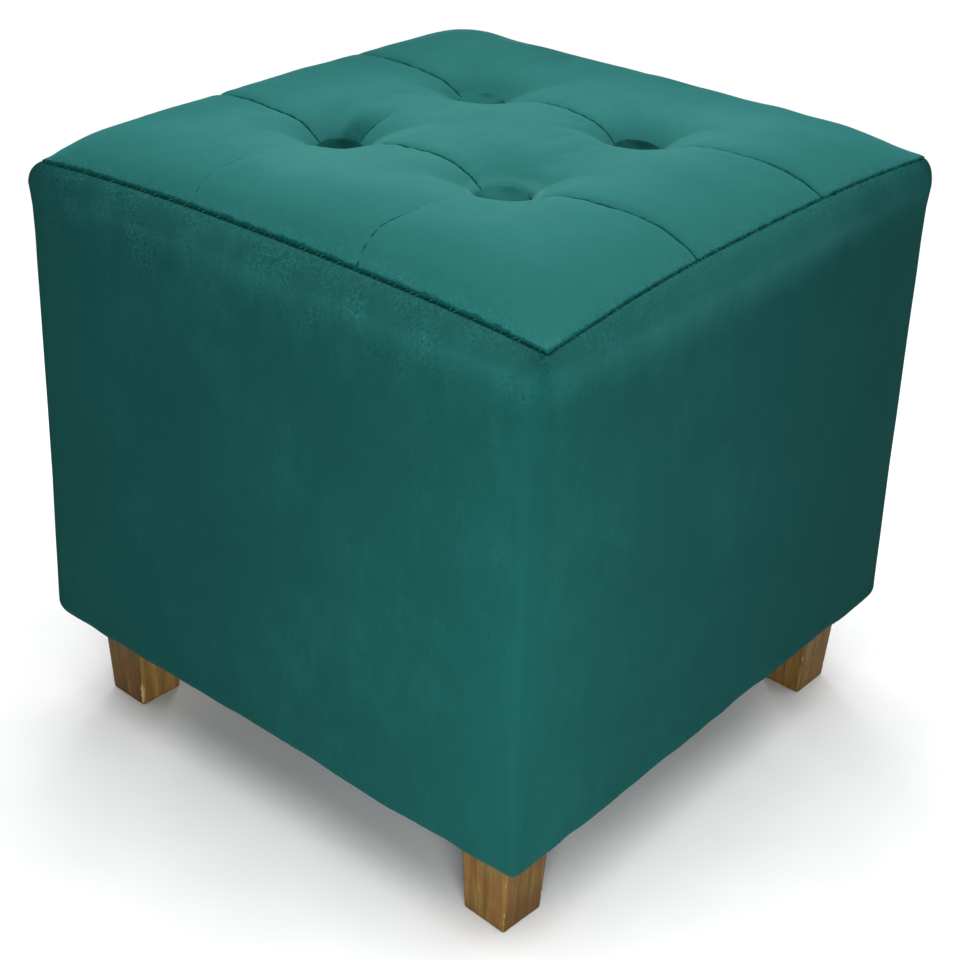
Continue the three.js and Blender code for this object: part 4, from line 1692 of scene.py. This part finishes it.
@dataclass
class Studio:
    """A pale floor, soft lights and a camera that looks down over the front corner."""

    eye: tuple[float, float, float] = (0.56779, -0.69505, 0.64761)
    azimuth: float = math.radians(39.264)
    elevation: float = math.radians(29.422)
    roll: float = math.radians(2.15)
    lens: float = 66.64
    floor_size: float = 120.0
    sky: str = "#f4f6f7"
    sky_strength: float = 0.115
    ceiling_strength: float = 3.3
    ceiling_width: float = math.radians(72)
    # Two strip boxes stand upright off the front and the back corner, and light those corners
    strip_stand: tuple[float, float] = (0.44, -0.48)
    strip_aim: tuple[float, float] = (0.175, -0.175)
    strip_height: float = 0.15
    strip_size: tuple[float, float] = (0.25, 0.34)
    front_watts: float = 3.05
    back_watts: float = 2.4

    def camera(self) -> bpy.types.Object:
        """Adds the camera and makes it the scene's.

        Returns:
            The camera.
        """
        back = Vector((math.sin(self.azimuth) * math.cos(self.elevation),
                       -math.cos(self.azimuth) * math.cos(self.elevation), math.sin(self.elevation)))
        level = Vector((math.cos(self.azimuth), math.sin(self.azimuth), 0))
        upright = back.cross(level)
        right = math.cos(self.roll) * level + math.sin(self.roll) * upright
        up = math.cos(self.roll) * upright - math.sin(self.roll) * level
        data = bpy.data.cameras.new("camera")
        data.lens = self.lens
        data.sensor_width = 36.0
        camera = bpy.data.objects.new("camera", data)
        turn = Matrix((right, up, back)).transposed().to_4x4()
        camera.matrix_world = Matrix.Translation(Vector(self.eye)) @ turn
        bpy.context.scene.collection.objects.link(camera)
        bpy.context.scene.camera = camera
        return camera

    def hang(self, data: bpy.types.Light, place: tuple[float, float, float],
             target: tuple[float, float, float]) -> None:
        """Hangs a lamp at a place and points it at its target.

        Args:
            data: the lamp's light.
            place: where it hangs.
            target: what it points at.
        """
        lamp = bpy.data.objects.new(data.name, data)
        lamp.location = place
        aim = Vector(target) - Vector(place)
        lamp.rotation_euler = aim.to_track_quat("-Z", "Y").to_euler()
        lamp.visible_camera = False
        bpy.context.scene.collection.objects.link(lamp)

    def strip_box(self, name: str, place: tuple[float, float, float], target: tuple[float, float, float],
                  size: tuple[float, float], watts: float) -> None:
        """Adds an upright strip soft box.

        Args:
            name: the lamp's name.
            place: where it stands.
            target: what it points at.
            size: its width and height.
            watts: its power.
        """
        data = bpy.data.lights.new(name, "AREA")
        data.shape = "RECTANGLE"
        data.size, data.size_y = size
        data.energy = watts
        self.hang(data, place, target)

    def ceiling(self, name: str, place: tuple[float, float, float], strength: float, width: float) -> None:
        """Adds the broad even light of a lit ceiling.

        Args:
            name: the lamp's name.
            place: the direction it comes from, as a place it shines from to the origin.
            strength: its irradiance in watts per square metre.
            width: how wide it looks from below, in radians.
        """
        data = bpy.data.lights.new(name, "SUN")
        data.energy = strength
        data.angle = width
        self.hang(data, place, (0, 0, 0))

    def build(self) -> None:
        """Sets up floor, sky, lights and camera."""
        scene = bpy.context.scene
        half = self.floor_size / 2
        corners = np.array([[-half, -half, 0], [half, -half, 0], [half, half, 0], [-half, half, 0]])
        floor = add_mesh("studio_floor", corners, [(0, 1, 2, 3)])
        floor.data.materials.append(PaintedFloor().material())
        world = bpy.data.worlds.new("studio")
        world.use_nodes = True
        world.node_tree.nodes["Background"].inputs["Color"].default_value = linear(self.sky)
        world.node_tree.nodes["Background"].inputs["Strength"].default_value = self.sky_strength
        scene.world = world
        self.ceiling("lit_ceiling", (-0.1, 0.2, 2.0), self.ceiling_strength, self.ceiling_width)
        for name, way, watts in (("front_strip", 1, self.front_watts), ("back_strip", -1, self.back_watts)):
            stand = (way * self.strip_stand[0], way * self.strip_stand[1], self.strip_height)
            aim = (way * self.strip_aim[0], way * self.strip_aim[1], self.strip_height)
            self.strip_box(name, stand, aim, self.strip_size, watts)
        scene.view_settings.view_transform = "Standard"
        self.camera()


def main() -> None:
    """Builds the pouf piece by piece and sets up the studio."""
    logging.basicConfig(level=logging.INFO, format="%(name)s: %(message)s")
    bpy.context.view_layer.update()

    side_velvet = CutVelvet("cut_velvet_side", "#0c302e", "#124441", "#2a6b67",
                            gloss=0.015, unevenness=1.3).material()
    # The top's and the buttons' velvets are lighter copies of the side's, painted lighter for the light they
    # get from above; the buttons' one also reaches a darker deep for painted shade
    top_velvet = CutVelvet("cut_velvet_top_painted_light", "#1b5d5a", "#327a77", "#549b97", sheen=0.06,
                           unevenness=0.95, crease="#0a4f4b").material()
    button_velvet = CutVelvet("cut_velvet_button_painted_light", "#07302e", "#2a6e6a", "#4d9591", sheen=0.02,
                              gloss=0.02, crease="#033936").material()
    thread = PolyesterThread("polyester_thread").material()
    wood = StainedHardwood("stained_rubberwood").material()

    cover = SideCover()
    piece = cover.build()
    cover.dress(piece, side_velvet)
    log.info("side cover: %d vertices", len(piece.data.vertices))

    panel = TopPanel()
    piece = panel.build()
    panel.dress(piece, top_velvet)
    log.info("top panel: %d vertices", len(piece.data.vertices))

    buttons = CoveredButtons()
    for button in BUTTONS:
        piece = buttons.build(button, panel.well_floor(button) + GAP, panel.tuft)
        buttons.dress(piece, button, button_velvet)
        log.info("covered button: %s", button.name)

    stitches = SeamStitches()
    piece = stitches.build()
    stitches.dress(piece, thread)
    log.info("seam stitches: %d vertices", len(piece.data.vertices))

    feet = TaperedFeet()
    for name in feet.places():
        feet.dress(feet.build(name), name, wood)
        log.info("wooden foot: %s", name)

    Studio().build()
    bpy.context.view_layer.update()


if __name__ == "__main__":
    main()
